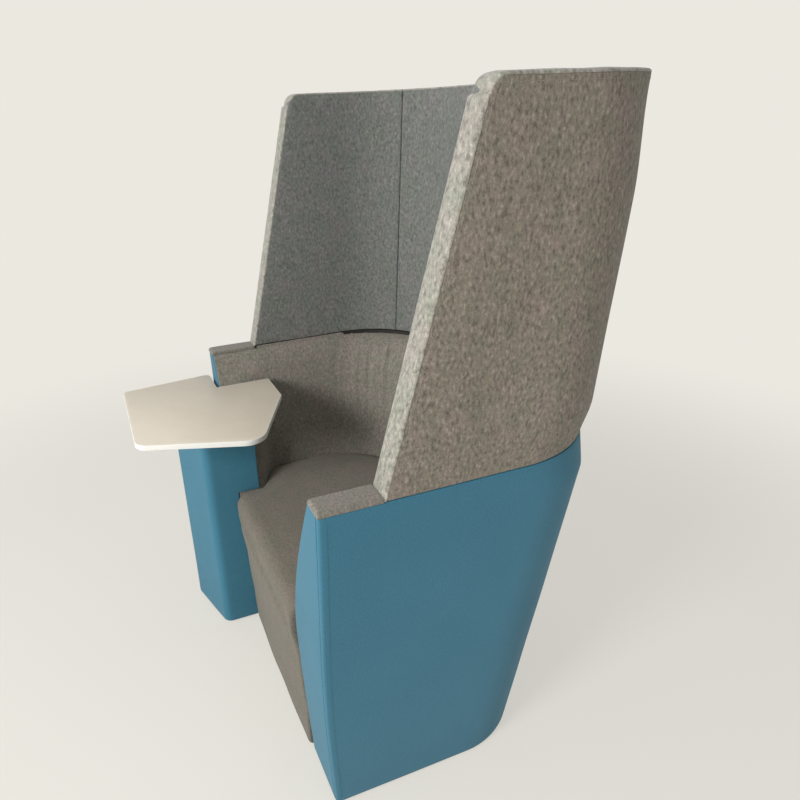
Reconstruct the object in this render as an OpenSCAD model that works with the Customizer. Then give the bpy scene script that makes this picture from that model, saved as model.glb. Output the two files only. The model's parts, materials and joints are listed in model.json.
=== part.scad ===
// High-back pod armchair: an upholstered tub on the floor, a tall screen
// standing on the tub, and a swivel tablet on a pedestal at the left arm.
// Millimetres. +Z is up, the sitter looks along -Y, and the tablet is at -X.
// Sizes along Y are counted from the front line of the tub on the floor, and
// every piece is then moved so that the origin is under the middle of the
// whole chair.

/* [Overall] */
// Height from the floor to the top of the screen
total_h = 1400; // [1300:10:1500]
// Height of the arm tops above the floor
arm_h = 780; // [740:5:820]
// Width of the tub at the floor
floor_w = 784; // [760:2:800]
// Width across the arms at their tops
arm_w = 904; // [880:2:930]
// Width of the screen at its top
top_w = 950; // [920:2:980]
// Depth from the front line to the back, at the floor
floor_d = 512; // [500:2:540]
// Depth from the front line to the back, at the arm tops
arm_d = 618; // [600:2:640]
// Depth from the front line to the back, at the top of the screen
top_d = 653; // [640:2:680]
// Radius of the tub's rear corners, outside
corner_r = 195; // [185:5:205]
// Radius of the screen's rear corners, outside
screen_corner_r = 243; // [235:1:250]
// Height below the arm tops over which the tub's rear corners widen to the screen's
corner_rise = 80; // [60:5:100]
// Gap left between pieces that lie against each other
seat_gap = 0.3; // [0.2:0.05:0.4]

/* [Tub] */
// Thickness of the outer cover with its foam
cover_t = 6; // [4:1:8]
// Thickness of the outer boards
panel_t = 15; // [12:1:16]
// Thickness of an arm at its top
arm_top_t = 52; // [48:1:60]
// Thickness of an arm front where it is thickest
arm_mid_t = 178; // [165:1:185]
// Thickness of an arm front at the floor
arm_floor_t = 158; // [145:1:170]
// Height at which an arm front is thickest
arm_mid_h = 375; // [340:5:400]
// How far the arm fronts bow forward of the front line
front_bow = 20; // [10:1:26]
// Depth of the padded arm front behind the front line
facing_d = 12; // [10:1:16]
// Thickness of the pads on the arm tops
cap_t = 8; // [6:1:12]

/* [Lining] */
// Thickness of the inner pads
lining_t = 26; // [20:1:28]
// Thickness from the outer face to the inner pad, at the sides
side_t = 85; // [75:1:95]
// Thickness from the outer face to the inner pad, at the back by the seat
lumbar_t = 130; // [115:1:140]
// Thickness from the outer face to the inner pad, at the back below the shoulder
high_back_t = 112; // [100:1:125]
// Thickness of the back at the arm tops
back_top_t = 62; // [58:1:70]
// Height over which the inner pads round off below the arm tops
shoulder_h = 100; // [70:5:120]
// Radius of the inner rear corners
inner_r = 200; // [180:5:205]
// Distance behind the front line at which the thick arm front starts to thin out
flare_y = 38; // [25:1:45]
// Length over which the thick arm front thins out towards the back
flare_l = 70; // [60:5:150]
// Height of the lower edge of the inner pads
lining_z = 300; // [280:5:320]

/* [Screen] */
// Shadow gap between the tub and the screen
shadow_gap = 2; // [1.5:0.5:4]
// Thickness of the screen at the sides
screen_t = 50; // [46:1:54]
// Thickness of the screen's outer pad
screen_outer_t = 10; // [8:1:12]
// Thickness of the screen's boards
screen_board_t = 18; // [15:1:18]
// Distance of the wing's front edge from the front line, at its foot
wing_low = 97; // [80:1:120]
// Distance of the wing's front edge from the front line, at the top
wing_high = 250; // [220:5:280]
// Radius of the wing's top front corner
wing_r = 25; // [10:1:40]
// Thickness of the sewn band along the edges of the screen
band_t = 5; // [4:1:8]

/* [Seat] */
// Height of the seat's front edge
seat_h = 428; // [410:2:450]
// How far the crown of the seat stands above its front edge
seat_crown = 16; // [8:1:24]
// How far the seat's nose stands in front of the front line
nose_d = 31; // [26:1:40]
// How far the front panel's foot stands in front of the front line
panel_foot_d = 11; // [6:1:16]
// Height of the seat frame's top
frame_h = 330; // [310:5:340]
// Height of the frame rails
rail_h = 60; // [50:5:70]
// Thickness of the frame rails
rail_t = 30; // [25:1:35]
// Width of a webbing strap
strap_w = 50; // [40:2:54]
// Thickness of a webbing strap
strap_t = 2; // [1.5:0.5:3]
// Straps from side to side
cross_straps = 5; // [4:1:6]
// Straps from front to back
long_straps = 5; // [4:1:6]

/* [Base] */
// Height of the glides
glide_h = 6; // [5:1:10]
// Radius of a glide
glide_r = 16; // [12:1:20]
// Thickness of the floor boards
floor_board_t = 18; // [15:1:20]
// Radius of a glide's nail
nail_r = 2; // [1.5:0.25:3]

/* [Pedestal] */
// Distance of the pedestal's outer face inside the arms' greatest width
ped_inset = 5; // [2:1:12]
// Width of the pedestal
ped_w = 200; // [192:1:202]
// Distance of the pedestal's outer front corner ahead of the front line
ped_front_out = 152; // [140:2:165]
// Distance of the pedestal's inner front corner ahead of the front line
ped_front_in = 98; // [90:2:110]
// Distance of the pedestal's inner rear edge behind the front line
ped_rear = 38; // [30:1:50]
// Height of the pedestal
ped_h = 683; // [670:1:685]
// Thickness of the pedestal's cover with its foam
ped_cover_t = 8; // [6:1:10]
// Thickness of the pedestal's boards
ped_board_t = 15; // [12:1:18]
// Radius of the pedestal's rounded upright edges
ped_r = 24; // [16:1:30]

/* [Tablet] */
// Gap between the pedestal and the tablet
tablet_lift = 7; // [6:0.5:12]
// Thickness of the tablet
tablet_t = 13; // [12:1:13]
// Width of the tablet, from the arm's outer side towards the middle
tablet_w = 449; // [440:1:455]
// Width of the edging round the tablet
edging_t = 1.5; // [1:0.5:2]
// Distance of the tablet's front edge ahead of the front line
tablet_front = 262; // [240:2:280]
// Distance of the tablet's rear edge behind the front line
tablet_rear = 113; // [100:1:120]
// Gap between the tablet and the arm that it is cut round
arm_gap = 8; // [8:0.5:12]
// Distance of the pivot inside the pedestal's outer face
pivot_in = 37; // [35:0.5:41]
// Distance of the pivot ahead of the front line
pivot_y = 98; // [96:1:102]
// Radius of the pivot spindle
spindle_r = 8; // [7:0.5:9]
// Radial clearance of the spindle in its bush
run_gap = 0.05; // [0.03:0.01:0.08]
// Thickness of the bush's wall
bush_t = 4; // [3:0.5:5]
// Thickness of the swivel plate
plate_t = 4; // [3:0.5:5]

/* [Hidden] */

// Overrun of every cut
cut = 1;
// Straight runs of a rear corner, even so that a seam can fall in its middle
seg = 8;
mid = seg / 2;
// Straight runs in which a side thins out, and the number of points on a side before its
// rear corner
thin_runs = 3;
side_pts = thin_runs + 2;
// Shortest run in front of the part that thins out
side_lead = 10;
// Sides of the small hidden fasteners and of their holes
few = 12;
nail_hole_r = nail_r + seat_gap;
// Middle of the whole chair, from the tablet's front edge to the screen's back
mid_y = (top_d - tablet_front) / 2;
// The pedestal stands with the arms, and the tablet and its pivot with the pedestal
ped_out = arm_w / 2 - ped_inset;
ped_in = ped_out - ped_w;
pivot_x = ped_out - pivot_in;
tablet_h = ped_h + tablet_lift + tablet_t;

blue = [0.25, 0.45, 0.53];
grey = [0.47, 0.44, 0.41];
taupe = [0.52, 0.48, 0.43];
plywood = [0.80, 0.68, 0.50];
steel = [0.60, 0.61, 0.63];
nylon = [0.16, 0.16, 0.17];
cream = [0.84, 0.80, 0.73];

function mix(a, b, t) = a + (b - a) * t;
function ease(t) = let (c = max(0, min(1, t))) c * c * (3 - 2 * c);
// The same curve, in the straight runs that a plan line's side is made of
function run_ease(t) = let (
    c = max(0, min(1, t)) * thin_runs, k = min(thin_runs - 1, floor(c)))
    mix(ease(k / thin_runs), ease((k + 1) / thin_runs), c - k);

// Half width and depth of the outer face at a height
function up_share(z) = (z - arm_h) / (total_h - arm_h);
function half_w(z) = z <= arm_h ? mix(floor_w, arm_w, z / arm_h) / 2
    : mix(arm_w, top_w, up_share(z)) / 2;
function back_y(z) = z <= arm_h ? mix(floor_d, arm_d, z / arm_h)
    : mix(arm_d, top_d, up_share(z));

// Radius of the rear corners at a height
function corner_at(z) =
    mix(corner_r, screen_corner_r, max(0, min(1, (z - arm_h + corner_rise) / corner_rise)));

// Thickness of an arm front: thickest at arm_mid_h, thin at its top
function arm_t(z) = z < arm_mid_h
    ? mix(arm_floor_t, arm_mid_t, sin(90 * z / arm_mid_h))
    : mix(arm_top_t, arm_mid_t, cos(90 * min(1, (z - arm_mid_h) / (arm_h - arm_mid_h))));

// Forward bow of the arm fronts
bow_h = 0.58 * arm_h;
function front_y(z) = -front_bow * sin(90 * min(1, z / bow_h));

// Inner faces of the lining, counted from the outer face
function shoulder(z) = let (s = (z - (arm_h - cap_t - shoulder_h)) / shoulder_h)
    s <= 0 ? 1 : sqrt(max(0, 1 - s * s));
function lining_side_t(z) = mix(arm_top_t, side_t, shoulder(z));
function lumbar_rise(z) = max(0, (z - seat_h) / (arm_h - shoulder_h - seat_h));
function lining_back_t(z) =
    mix(back_top_t, mix(lumbar_t, high_back_t, lumbar_rise(z)), shoulder(z));

// Front edge of the screen, with its rounded top corner
screen_z = arm_h + shadow_gap;
function rake_y(z) = mix(wing_low, wing_high, up_share(z));
function wing_y(z) = let (d = z - (total_h - wing_r))
    rake_y(z) + (d <= 0 ? 0 : wing_r - sqrt(max(0, wing_r * wing_r - d * d)));

// One plan line at a height: left front, left corner, back, right corner and
// right front. The front end of each side may stand at another half width.
function u_line(w, d, r, f, wf, fl, z) = let (
    start = max(flare_y, f + side_lead),
    run = min(fl, d - r - start - cut),
    side = concat([[wf, f]], [for (k = [0 : thin_runs]) let (t = k / thin_runs)
        [mix(wf, w, ease(t)), start + run * t]]),
    arc = [for (k = [0 : seg]) let (a = 90 * k / seg) [w - r + r * cos(a), d - r + r * sin(a)]],
    right = concat(side, arc))
    concat([for (p = right) [-p[0], p[1], z]],
        [for (i = [len(right) - 1 : -1 : 0]) [right[i][0], right[i][1], z]]);

// Plan line at a depth t inside the outer face
function shell_line(z, t, f) =
    u_line(half_w(z) - t, back_y(z) - t, corner_at(z) - t, f, half_w(z) - t, flare_l, z);
// Plan line of the lining's inner face, or of its back when off is not zero
function lining_line(z, off) = u_line(half_w(z) - lining_side_t(z) + off,
    back_y(z) - lining_back_t(z) + off, inner_r + off, facing_d + seat_gap,
    half_w(z) - arm_t(z) + off, flare_l, z);
// Plan line of the screen's inner face
screen_inner_r = 215;
function screen_inner_line(z, f) = u_line(half_w(z) - screen_t, back_y(z) - back_top_t,
    screen_inner_r, f, half_w(z) - screen_t, flare_l, z);

// Places on a plan line, as indexes of its points
corner_start = side_pts;
corner_mid = side_pts + mid;
line_len = 2 * (side_pts + seg + 1);
function part_of(line, a, b) = [for (i = [a : b]) line[i]];
function rows_of(lines, a, b) = [for (l = lines) part_of(l, a, b)];

// A solid between two grids of points. Rows run up and columns run from the
// left front round the back, so that the first grid faces outwards.
module slab(outer, inner) {
    nr = len(outer);
    nc = len(outer[0]);
    n = nr * nc;
    points = concat([for (r = outer) for (p = r) p], [for (r = inner) for (p = r) p]);
    function o(r, c) = r * nc + c;
    function i(r, c) = n + r * nc + c;
    function quad(a, b, c, d) = [[a, b, c], [a, c, d]];
    faces = concat(
        [for (r = [0 : nr - 2]) for (c = [0 : nc - 2])
            each quad(o(r, c), o(r, c + 1), o(r + 1, c + 1), o(r + 1, c))],
        [for (r = [0 : nr - 2]) for (c = [0 : nc - 2])
            each quad(i(r, c), i(r + 1, c), i(r + 1, c + 1), i(r, c + 1))],
        [for (c = [0 : nc - 2]) each quad(o(0, c), i(0, c), i(0, c + 1), o(0, c + 1))],
        [for (c = [0 : nc - 2])
            each quad(o(nr - 1, c), o(nr - 1, c + 1), i(nr - 1, c + 1), i(nr - 1, c))],
        [for (r = [0 : nr - 2]) each quad(o(r, 0), o(r + 1, 0), i(r + 1, 0), i(r, 0))],
        [for (r = [0 : nr - 2])
            each quad(o(r, nc - 1), i(r, nc - 1), i(r + 1, nc - 1), o(r + 1, nc - 1))]);
    polyhedron(points = points, faces = faces, convexity = 8);
}

// Puts a piece where the origin is under the middle of the chair
module place() translate([0, -mid_y, 0]) children();
module left_of() mirror([1, 0, 0]) children();

// A plan outline closed across its front, for boards that lie flat
module flat_u(z, t, f) polygon([for (p = shell_line(z, t, f)) [p[0], p[1]]]);

// The base
lining_back = panel_t + cover_t + 2 * seat_gap;
board_in = lining_back + seat_gap;
front_board_t = 15;
front_board_y = facing_d + seat_gap;
rail_front = front_board_y + front_board_t + seat_gap;
glide_y = [60, 400];
glide_x = [300, 230];
ped_glide_in = 45;
ped_glide = [[-ped_out + ped_glide_in, -100], [-ped_in - ped_glide_in, -70]];
module at_glides() {
    for (s = [-1, 1]) for (k = [0, 1]) translate([s * glide_x[k], glide_y[k], 0]) children();
    for (p = ped_glide) translate([p[0], p[1], 0]) children();
}
module floor_board() color(plywood) place() difference() {
    translate([0, 0, glide_h]) linear_extrude(floor_board_t)
        flat_u(glide_h, board_in, rail_front);
    at_glides() translate([0, 0, glide_h - cut])
        cylinder(h = floor_board_t + 2 * cut, r = nail_hole_r, $fn = few);
}
module glides() color(nylon) place() at_glides() difference() {
    cylinder(h = glide_h, r = glide_r, $fn = 48);
    translate([0, 0, glide_h / 2]) cylinder(h = glide_h, r = nail_hole_r, $fn = few);
}
module glide_nails() color(steel) place() at_glides() translate([0, 0, glide_h / 2])
    cylinder(h = glide_h / 2 + floor_board_t - seat_gap, r = nail_r, $fn = few);

// The tub's outside
cover_back = facing_d + seat_gap;
cover_rows = [glide_h, arm_h - corner_rise, arm_h];
module outer_cover(side) {
    a = side < 0 ? 0 : line_len / 2;
    b = side < 0 ? line_len / 2 - 1 : line_len - 1;
    lines_out = [for (z = cover_rows) shell_line(z, 0, cover_back)];
    lines_in = [for (z = cover_rows) shell_line(z, cover_t, cover_back)];
    function half_line(l) = side < 0
        ? concat(part_of(l, a, b), [[-seat_gap / 2, l[b][1], l[b][2]]])
        : concat([[seat_gap / 2, l[a][1], l[a][2]]], part_of(l, a, b));
    color(blue) place()
        slab([for (l = lines_out) half_line(l)], [for (l = lines_in) half_line(l)]);
}
module outer_cover_left() outer_cover(-1);
module outer_cover_right() outer_cover(1);

panel_top = arm_h - cap_t - seat_gap;
panel_rows = [glide_h, arm_h - corner_rise, panel_top];
panel_out = cover_t + seat_gap;
module panel(a, b) color(plywood) slab(
    rows_of([for (z = panel_rows) shell_line(z, panel_out, cover_back)], a, b),
    rows_of([for (z = panel_rows) shell_line(z, panel_out + panel_t, cover_back)], a, b));

stud_r = 3;
stud_in = 16;
stud_below = 30;
stud_above = 45;
// Places of the studs: two in each side, and one on either side of the back's middle
stud_front_y = 170;
stud_rear_y = 320;
stud_back_x = 110;
module at_studs() {
    for (s = [-1, 1]) {
        for (y = [stud_front_y, stud_rear_y])
            translate([s * (half_w(arm_h) - stud_in), y, arm_h]) children();
        translate([s * stud_back_x, back_y(arm_h) - stud_in, arm_h]) children();
    }
}
module stud_holes() at_studs() translate([0, 0, -stud_below - seat_gap])
    cylinder(h = stud_below + stud_above + 2 * seat_gap, r = stud_r + seat_gap, $fn = few);
module side_panel_left() place() difference() {
    panel(0, corner_start);
    stud_holes();
}
module side_panel_right() left_of() side_panel_left();
module back_panel() color(plywood) place() difference() {
    // Its upright ends stand clear of the side panels
    slab([for (z = panel_rows) back_part(z, panel_out)],
        [for (z = panel_rows) back_part(z, panel_out + panel_t)]);
    stud_holes();
}
function back_part(z, t) = let (l = shell_line(z, t, cover_back))
    concat([l[corner_start] + [0, seat_gap, 0]],
        part_of(l, corner_start + 1, line_len - 2 - corner_start),
        [l[line_len - 1 - corner_start] + [0, seat_gap, 0]]);

// The arm fronts
facing_top = arm_h - cap_t - seat_gap;
facing_shares = [0, .07, .16, .26, .37, .48, .57, .66, .75, .83, .89, .94, .975, 1];
facing_rows = [for (s = facing_shares) mix(glide_h, facing_top, s)];
across = [0, 1 / 3, 2 / 3, 1];
module arm_facing_right() color(blue) place() slab(
    [for (z = facing_rows) [for (t = across)
        [half_w(z) - arm_t(z) * t, front_y(z), z]]],
    [for (z = facing_rows) [for (t = across)
        [half_w(z) - arm_t(z) * t, facing_d, z]]]);
module arm_facing_left() color(blue) difference() {
    left_of() arm_facing_right();
    place() bolt_holes();
}

// Heights at which the lining's faces are counted
lining_shares = [0, .2, .4, .58, .72, .84, .92, .97, 1];
lining_rows = [for (s = lining_shares) mix(lining_z, panel_top, s)];

// Ribs between the outer boards and the lining
rib_t = 15;
rib_low = glide_h + floor_board_t + seat_gap;
rib_y = 190;
rib_rows = concat([rib_low, lining_z - seat_gap], lining_rows);
function rib_out(z) = half_w(z) - panel_out - panel_t - seat_gap;
pad_off = lining_t + 3 * seat_gap;
rib_front = rail_front + rib_t;
// Distance from the outer face to the inner edges of the front ribs, which clear the lining
function front_rib_in(z) = z < lining_z ? arm_t(z)
    : mix(arm_t(z), lining_side_t(z), run_ease((rib_front - flare_y) / flare_l)) - pad_off;
module rib(inner_x) rotate([90, 0, 0]) linear_extrude(rib_t) polygon(concat(
    [for (z = [rib_low, panel_top]) [rib_out(z), z]],
    [for (k = [len(rib_rows) - 1 : -1 : 0]) [inner_x[k], rib_rows[k]]]));
module arm_ribs_right() color(plywood) place() {
    front_in = [for (z = rib_rows) min(rib_out(z) - cut, half_w(z) - front_rib_in(z))];
    back_in = [for (z = rib_rows) min(rib_out(z) - cut, half_w(z) - lining_side_t(z) + pad_off)];
    translate([0, rib_front, 0]) rib(front_in);
    translate([0, rib_y + rib_t, 0]) rib(back_in);
}
module arm_ribs_left() color(plywood) difference() {
    left_of() arm_ribs_right();
    place() bolt_holes();
}
back_rib_x = [-150, -50, 50, 150];
module back_ribs() color(plywood) place() for (x = back_rib_x)
    translate([x - rib_t / 2, 0, 0]) rotate([90, 0, 90]) linear_extrude(rib_t)
        polygon(concat(
            [for (z = [rib_low, panel_top]) [back_y(z) - panel_out - panel_t - seat_gap, z]],
            [for (k = [len(rib_rows) - 1 : -1 : 0]) let (z = rib_rows[k])
                [min(back_y(z) - panel_out - panel_t - seat_gap - cut,
                    back_y(z) - lining_back_t(max(z, lining_z)) + pad_off), z]]));

// The pads on the arm tops and the rail that carries the screen
module arm_cap_right() color(taupe) place() translate([0, 0, arm_h - cap_t]) linear_extrude(cap_t)
    polygon([[half_w(arm_h - cap_t), front_y(arm_h)],
        [half_w(arm_h - cap_t), cover_back - seat_gap],
        [half_w(arm_h - cap_t) - panel_out, cover_back - seat_gap],
        [half_w(arm_h - cap_t) - panel_out, wing_low - seat_gap],
        [half_w(arm_h) - arm_top_t, wing_low - seat_gap],
        [half_w(arm_h) - arm_top_t, front_y(arm_h)]]);
module arm_cap_left() left_of() arm_cap_right();
module screen_rail() color(plywood) place() difference() {
    translate([0, 0, arm_h - cap_t]) linear_extrude(cap_t) difference() {
        intersection() {
            flat_u(arm_h - cap_t, panel_out, wing_low);
            flat_u(arm_h, panel_out, wing_low);
        }
        polygon([for (p = screen_inner_line(arm_h - cap_t, wing_low - cut)) [p[0], p[1]]]);
    }
    stud_holes();
}

// The lining
module lining(a, b) color(grey) place() slab(
    rows_of([for (z = lining_rows) lining_line(z, lining_t)], a, b),
    rows_of([for (z = lining_rows) lining_line(z, 0)], a, b));
module inner_arm_pad_left() lining(0, corner_mid);
module inner_arm_pad_right() left_of() inner_arm_pad_left();
seam_share = 0.02;
function back_pad_line(z, off) = let (l = lining_line(z, off), n = line_len - 1)
    concat([mix(l[corner_mid], l[corner_mid + 1], seam_share)],
        part_of(l, corner_mid + 1, n - corner_mid - 1),
        [mix(l[n - corner_mid], l[n - corner_mid - 1], seam_share)]);
module lower_back_pad() color(grey) place() slab(
    [for (z = lining_rows) back_pad_line(z, lining_t)],
    [for (z = lining_rows) back_pad_line(z, 0)]);

// The seat
rail_w = 440;
rail_d = 365;
post = 40;
module seat_frame() color(plywood) place() {
    translate([-rail_w / 2, rail_front, frame_h - rail_h]) difference() {
        cube([rail_w, rail_d, rail_h]);
        translate([rail_t, rail_t, -cut])
            cube([rail_w - 2 * rail_t, rail_d - 2 * rail_t, rail_h + 2 * cut]);
    }
    for (x = [-rail_w / 2, rail_w / 2 - post])
        for (y = [rail_front + rail_t + seat_gap, rail_front + rail_d - rail_t - post - seat_gap])
            translate([x, y, rib_low])
                cube([post, post, frame_h - rail_h - rib_low]);
}
module seat_webbing() color(nylon) place() {
    pitch_y = rail_d / cross_straps;
    pitch_x = rail_w / long_straps;
    for (k = [0 : cross_straps - 1])
        translate([-rail_w / 2, rail_front + pitch_y * (k + 1 / 2) - strap_w / 2, frame_h])
            cube([rail_w, strap_w, strap_t]);
    for (k = [0 : long_straps - 1])
        translate([-rail_w / 2 + pitch_x * (k + 1 / 2) - strap_w / 2, rail_front, frame_h + strap_t])
            cube([strap_w, rail_d, strap_t]);
}
front_half = floor_w / 2 - arm_floor_t;
module front_board() color(plywood) place() translate([-front_half, front_board_y, glide_h])
    cube([2 * front_half, front_board_t, frame_h - glide_h]);

// The front panel leans forward from its foot to the seat's nose
seat_clear = 2;
cushion_z = frame_h + 2 * strap_t + seat_gap;
function nose_y(z) = -mix(panel_foot_d, nose_d, z / cushion_z);

panel_shares = [0, .2, .4, .6, .8, 1];
front_rows = [for (s = panel_shares) mix(glide_h, cushion_z - seat_gap, s)];
panel_across = [1, .92, .5, 0, -.5, -.92, -1];
// How far the panel's upright edges fall back
panel_edge = 3;
module seat_front_panel() color(taupe) place() slab(
    [for (z = front_rows) [for (t = panel_across)
        [t * (half_w(z) - arm_t(z) - seat_clear), nose_y(z) + (abs(t) == 1 ? panel_edge : 0), z]]],
    [for (z = front_rows) [for (t = panel_across)
        [t * (half_w(z) - arm_t(z) - seat_clear), facing_d, z]]]);

// Crowned cushion: its plan narrows between the arm fronts and is round at the
// back, its upper face swells to the middle, and its edges roll down
cushion_nx = 18;
edge_roll = 28;
edge_z = seat_h - edge_roll;
function seat_half(z, y) = half_w(z) - seat_clear - mix(arm_t(z), lining_side_t(z),
    run_ease((y - flare_y) / flare_l));
function seat_back_y(z) = back_y(z) - lining_back_t(z) - seat_clear;
function round_half(z, y) = let (d = y - seat_back_y(z) + inner_r)
    seat_half(z, y) - (d <= 0 ? 0 : inner_r - sqrt(max(0, inner_r * inner_r - d * d)));
// Drop of the upper face at distances from the sides, the front and the back
function past(d) = max(0, edge_roll - d);
function roll(side, front, back) = let (
    q = min(edge_roll, norm([past(side), past(front), past(back)])))
    edge_roll - sqrt(edge_roll * edge_roll - q * q);
// Shares of the width, closer together towards the edges
cushion_u = [for (k = [0 : cushion_nx]) (1 - cos(180 * k / cushion_nx)) / 2];
// Shares of the depth: some on the nose, some that meet the straight runs of the
// lining's flare, and some closer and closer together towards the back
nose_runs = 5;
flare_runs = 2 * thin_runs;
rear_runs = 9;
function depth_share(y) = (y + nose_d) / (seat_back_y(edge_z) + nose_d);
flare_from = depth_share(flare_y);
flare_to = depth_share(flare_y + flare_l);
cushion_v = concat(
    [for (k = [0 : nose_runs]) flare_from * (1 - cos(90 * k / nose_runs))],
    [for (k = [1 : flare_runs]) mix(flare_from, flare_to, k / flare_runs)],
    [for (k = [1 : rear_runs]) mix(flare_to, 1, sin(90 * k / rear_runs))]);
function cushion_plan(z, u, v) = let (y = mix(-nose_d, seat_back_y(z), v))
    [(2 * u - 1) * round_half(z, y), y, z];
function cushion_top(u, v) = let (
    p = cushion_plan(edge_z, u, v), side = round_half(edge_z, p[1]) - abs(p[0]))
    [p[0], p[1], seat_h + seat_crown * sin(180 * u) * sin(18 + 144 * v)
        - roll(side, p[1] + nose_d, seat_back_y(edge_z) - p[1])];
module seat_cushion() color(grey) place() slab(
    [for (u = cushion_u) [for (v = cushion_v) cushion_top(u, v)]],
    [for (u = cushion_u) [for (v = cushion_v) cushion_plan(cushion_z, u, v)]]);

// The screen
module joining_studs() color(steel) place() at_studs() translate([0, 0, -stud_below])
    cylinder(h = stud_below + stud_above, r = stud_r, $fn = few);

screen_top = total_h - band_t - seat_gap;
screen_shares = [0, .5, .93, .965, .985, 1];
screen_rows = [for (s = screen_shares) mix(screen_z, screen_top, s)];
function screen_line(z, t) = shell_line(z, t, wing_y(z) + band_t + 2 * seat_gap);
function split_line(l, a, b, cut_a, cut_b) = concat(
    cut_a > 0 ? [mix(l[a], l[a + 1], cut_a)] : [l[a]],
    part_of(l, a + 1, b - 1),
    cut_b > 0 ? [mix(l[b], l[b - 1], cut_b)] : [l[b]]);
module screen_layer(t_out, t_in, a, b, cut_a, cut_b) slab(
    [for (z = screen_rows) split_line(screen_line(z, t_out), a, b, cut_a, cut_b)],
    [for (z = screen_rows) split_line(screen_line(z, t_in), a, b, cut_a, cut_b)]);
board_out = screen_outer_t + seat_gap;
board_end = board_out + screen_board_t;
module screen_board_left() color(plywood) place() difference() {
    screen_layer(board_out, board_end, 0, corner_start, 0, 0);
    stud_holes();
}
module screen_board_right() left_of() screen_board_left();
module screen_board_back() color(plywood) place() difference() {
    screen_layer(board_out, board_end, corner_start, line_len - 1 - corner_start,
        seam_share, seam_share);
    stud_holes();
}
module screen_outer_pad(side) {
    n = line_len / 2;
    function half_line(l) = side < 0
        ? concat(part_of(l, 0, n - 1), [[-seat_gap / 2, l[n][1], l[n][2]]])
        : concat([[seat_gap / 2, l[n][1], l[n][2]]], part_of(l, n, line_len - 1));
    color(taupe) place() slab([for (z = screen_rows) half_line(screen_line(z, 0))],
        [for (z = screen_rows) half_line(screen_line(z, screen_outer_t))]);
}
module screen_outer_pad_left() screen_outer_pad(-1);
module screen_outer_pad_right() screen_outer_pad(1);
module screen_inner_pad(a, b, cut_a, cut_b) color(grey) place() slab(
    [for (z = screen_rows) split_line(screen_line(z, board_end + seat_gap), a, b, cut_a, cut_b)],
    [for (z = screen_rows) split_line(
        screen_inner_line(z, wing_y(z) + band_t + 2 * seat_gap), a, b, cut_a, cut_b)]);
module screen_inner_pad_left() screen_inner_pad(0, corner_mid, 0, 0);
module screen_inner_pad_right() left_of() screen_inner_pad_left();
module screen_inner_pad_back()
    screen_inner_pad(corner_mid, line_len - 1 - corner_mid, seam_share, seam_share);

// Sewn bands along the wing's front edge and over the top
band_shares = [0, .3, .6, .9, .945, .965, .98, .992, 1];
band_rows = [for (s = band_shares) mix(screen_z, total_h, s)];
module screen_front_band_right() color(grey) place() slab(
    [for (z = band_rows) [for (t = across) [half_w(z) - screen_t * t, wing_y(z), z]]],
    [for (z = band_rows) [for (t = across) [half_w(z) - screen_t * t, wing_y(z) + band_t, z]]]);
module screen_front_band_left() left_of() screen_front_band_right();
module screen_top_band() color(grey) place() {
    start = wing_y(total_h) + band_t + seat_gap;
    slab([for (z = [total_h - band_t, total_h]) shell_line(z, 0, start)],
        [for (z = [total_h - band_t, total_h]) screen_inner_line(z, start)]);
}

// The pedestal: a box before the left arm. Its cover runs on beside the arm.
ped_back = front_bow + 2 * seat_gap;
slope = (ped_front_out - ped_front_in) / (ped_out - ped_in);
function front_at(x) = -(ped_front_in + slope * (-x - ped_in));
module ped_outline(inset, back) {
    x0 = -ped_out + inset;
    x1 = -ped_in - inset;
    polygon([[x0, back], [x0, front_at(x0) + inset], [x1, front_at(x1) + inset], [x1, back]]);
}
ped_x = [-ped_out + ped_r, -ped_in - ped_r];
module ped_round(inset, back) intersection() {
    r = ped_r - inset;
    ped_outline(inset, back);
    union() {
        for (x = ped_x) translate([x, front_at(x) + ped_r]) circle(r = r, $fn = 48);
        polygon([for (x = ped_x) [x, front_at(x) + inset], [ped_x[1], back], [ped_x[0], back]]);
        polygon([[ped_x[0] - r, front_at(ped_x[0]) + ped_r], [ped_x[1] + r, front_at(ped_x[1]) + ped_r],
            [ped_x[1] + r, back], [ped_x[0] - r, back]]);
    }
}
ped_wall = ped_cover_t + seat_gap;
ped_top_t = 18;
ped_board_z = glide_h + floor_board_t + seat_gap;
module pedestal_base() color(plywood) place() difference() {
    translate([0, 0, glide_h]) linear_extrude(floor_board_t) ped_round(ped_wall, -ped_back);
    at_glides() translate([0, 0, glide_h - cut])
        cylinder(h = floor_board_t + 2 * cut, r = nail_hole_r, $fn = few);
}
bolt_r = 4;
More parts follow.
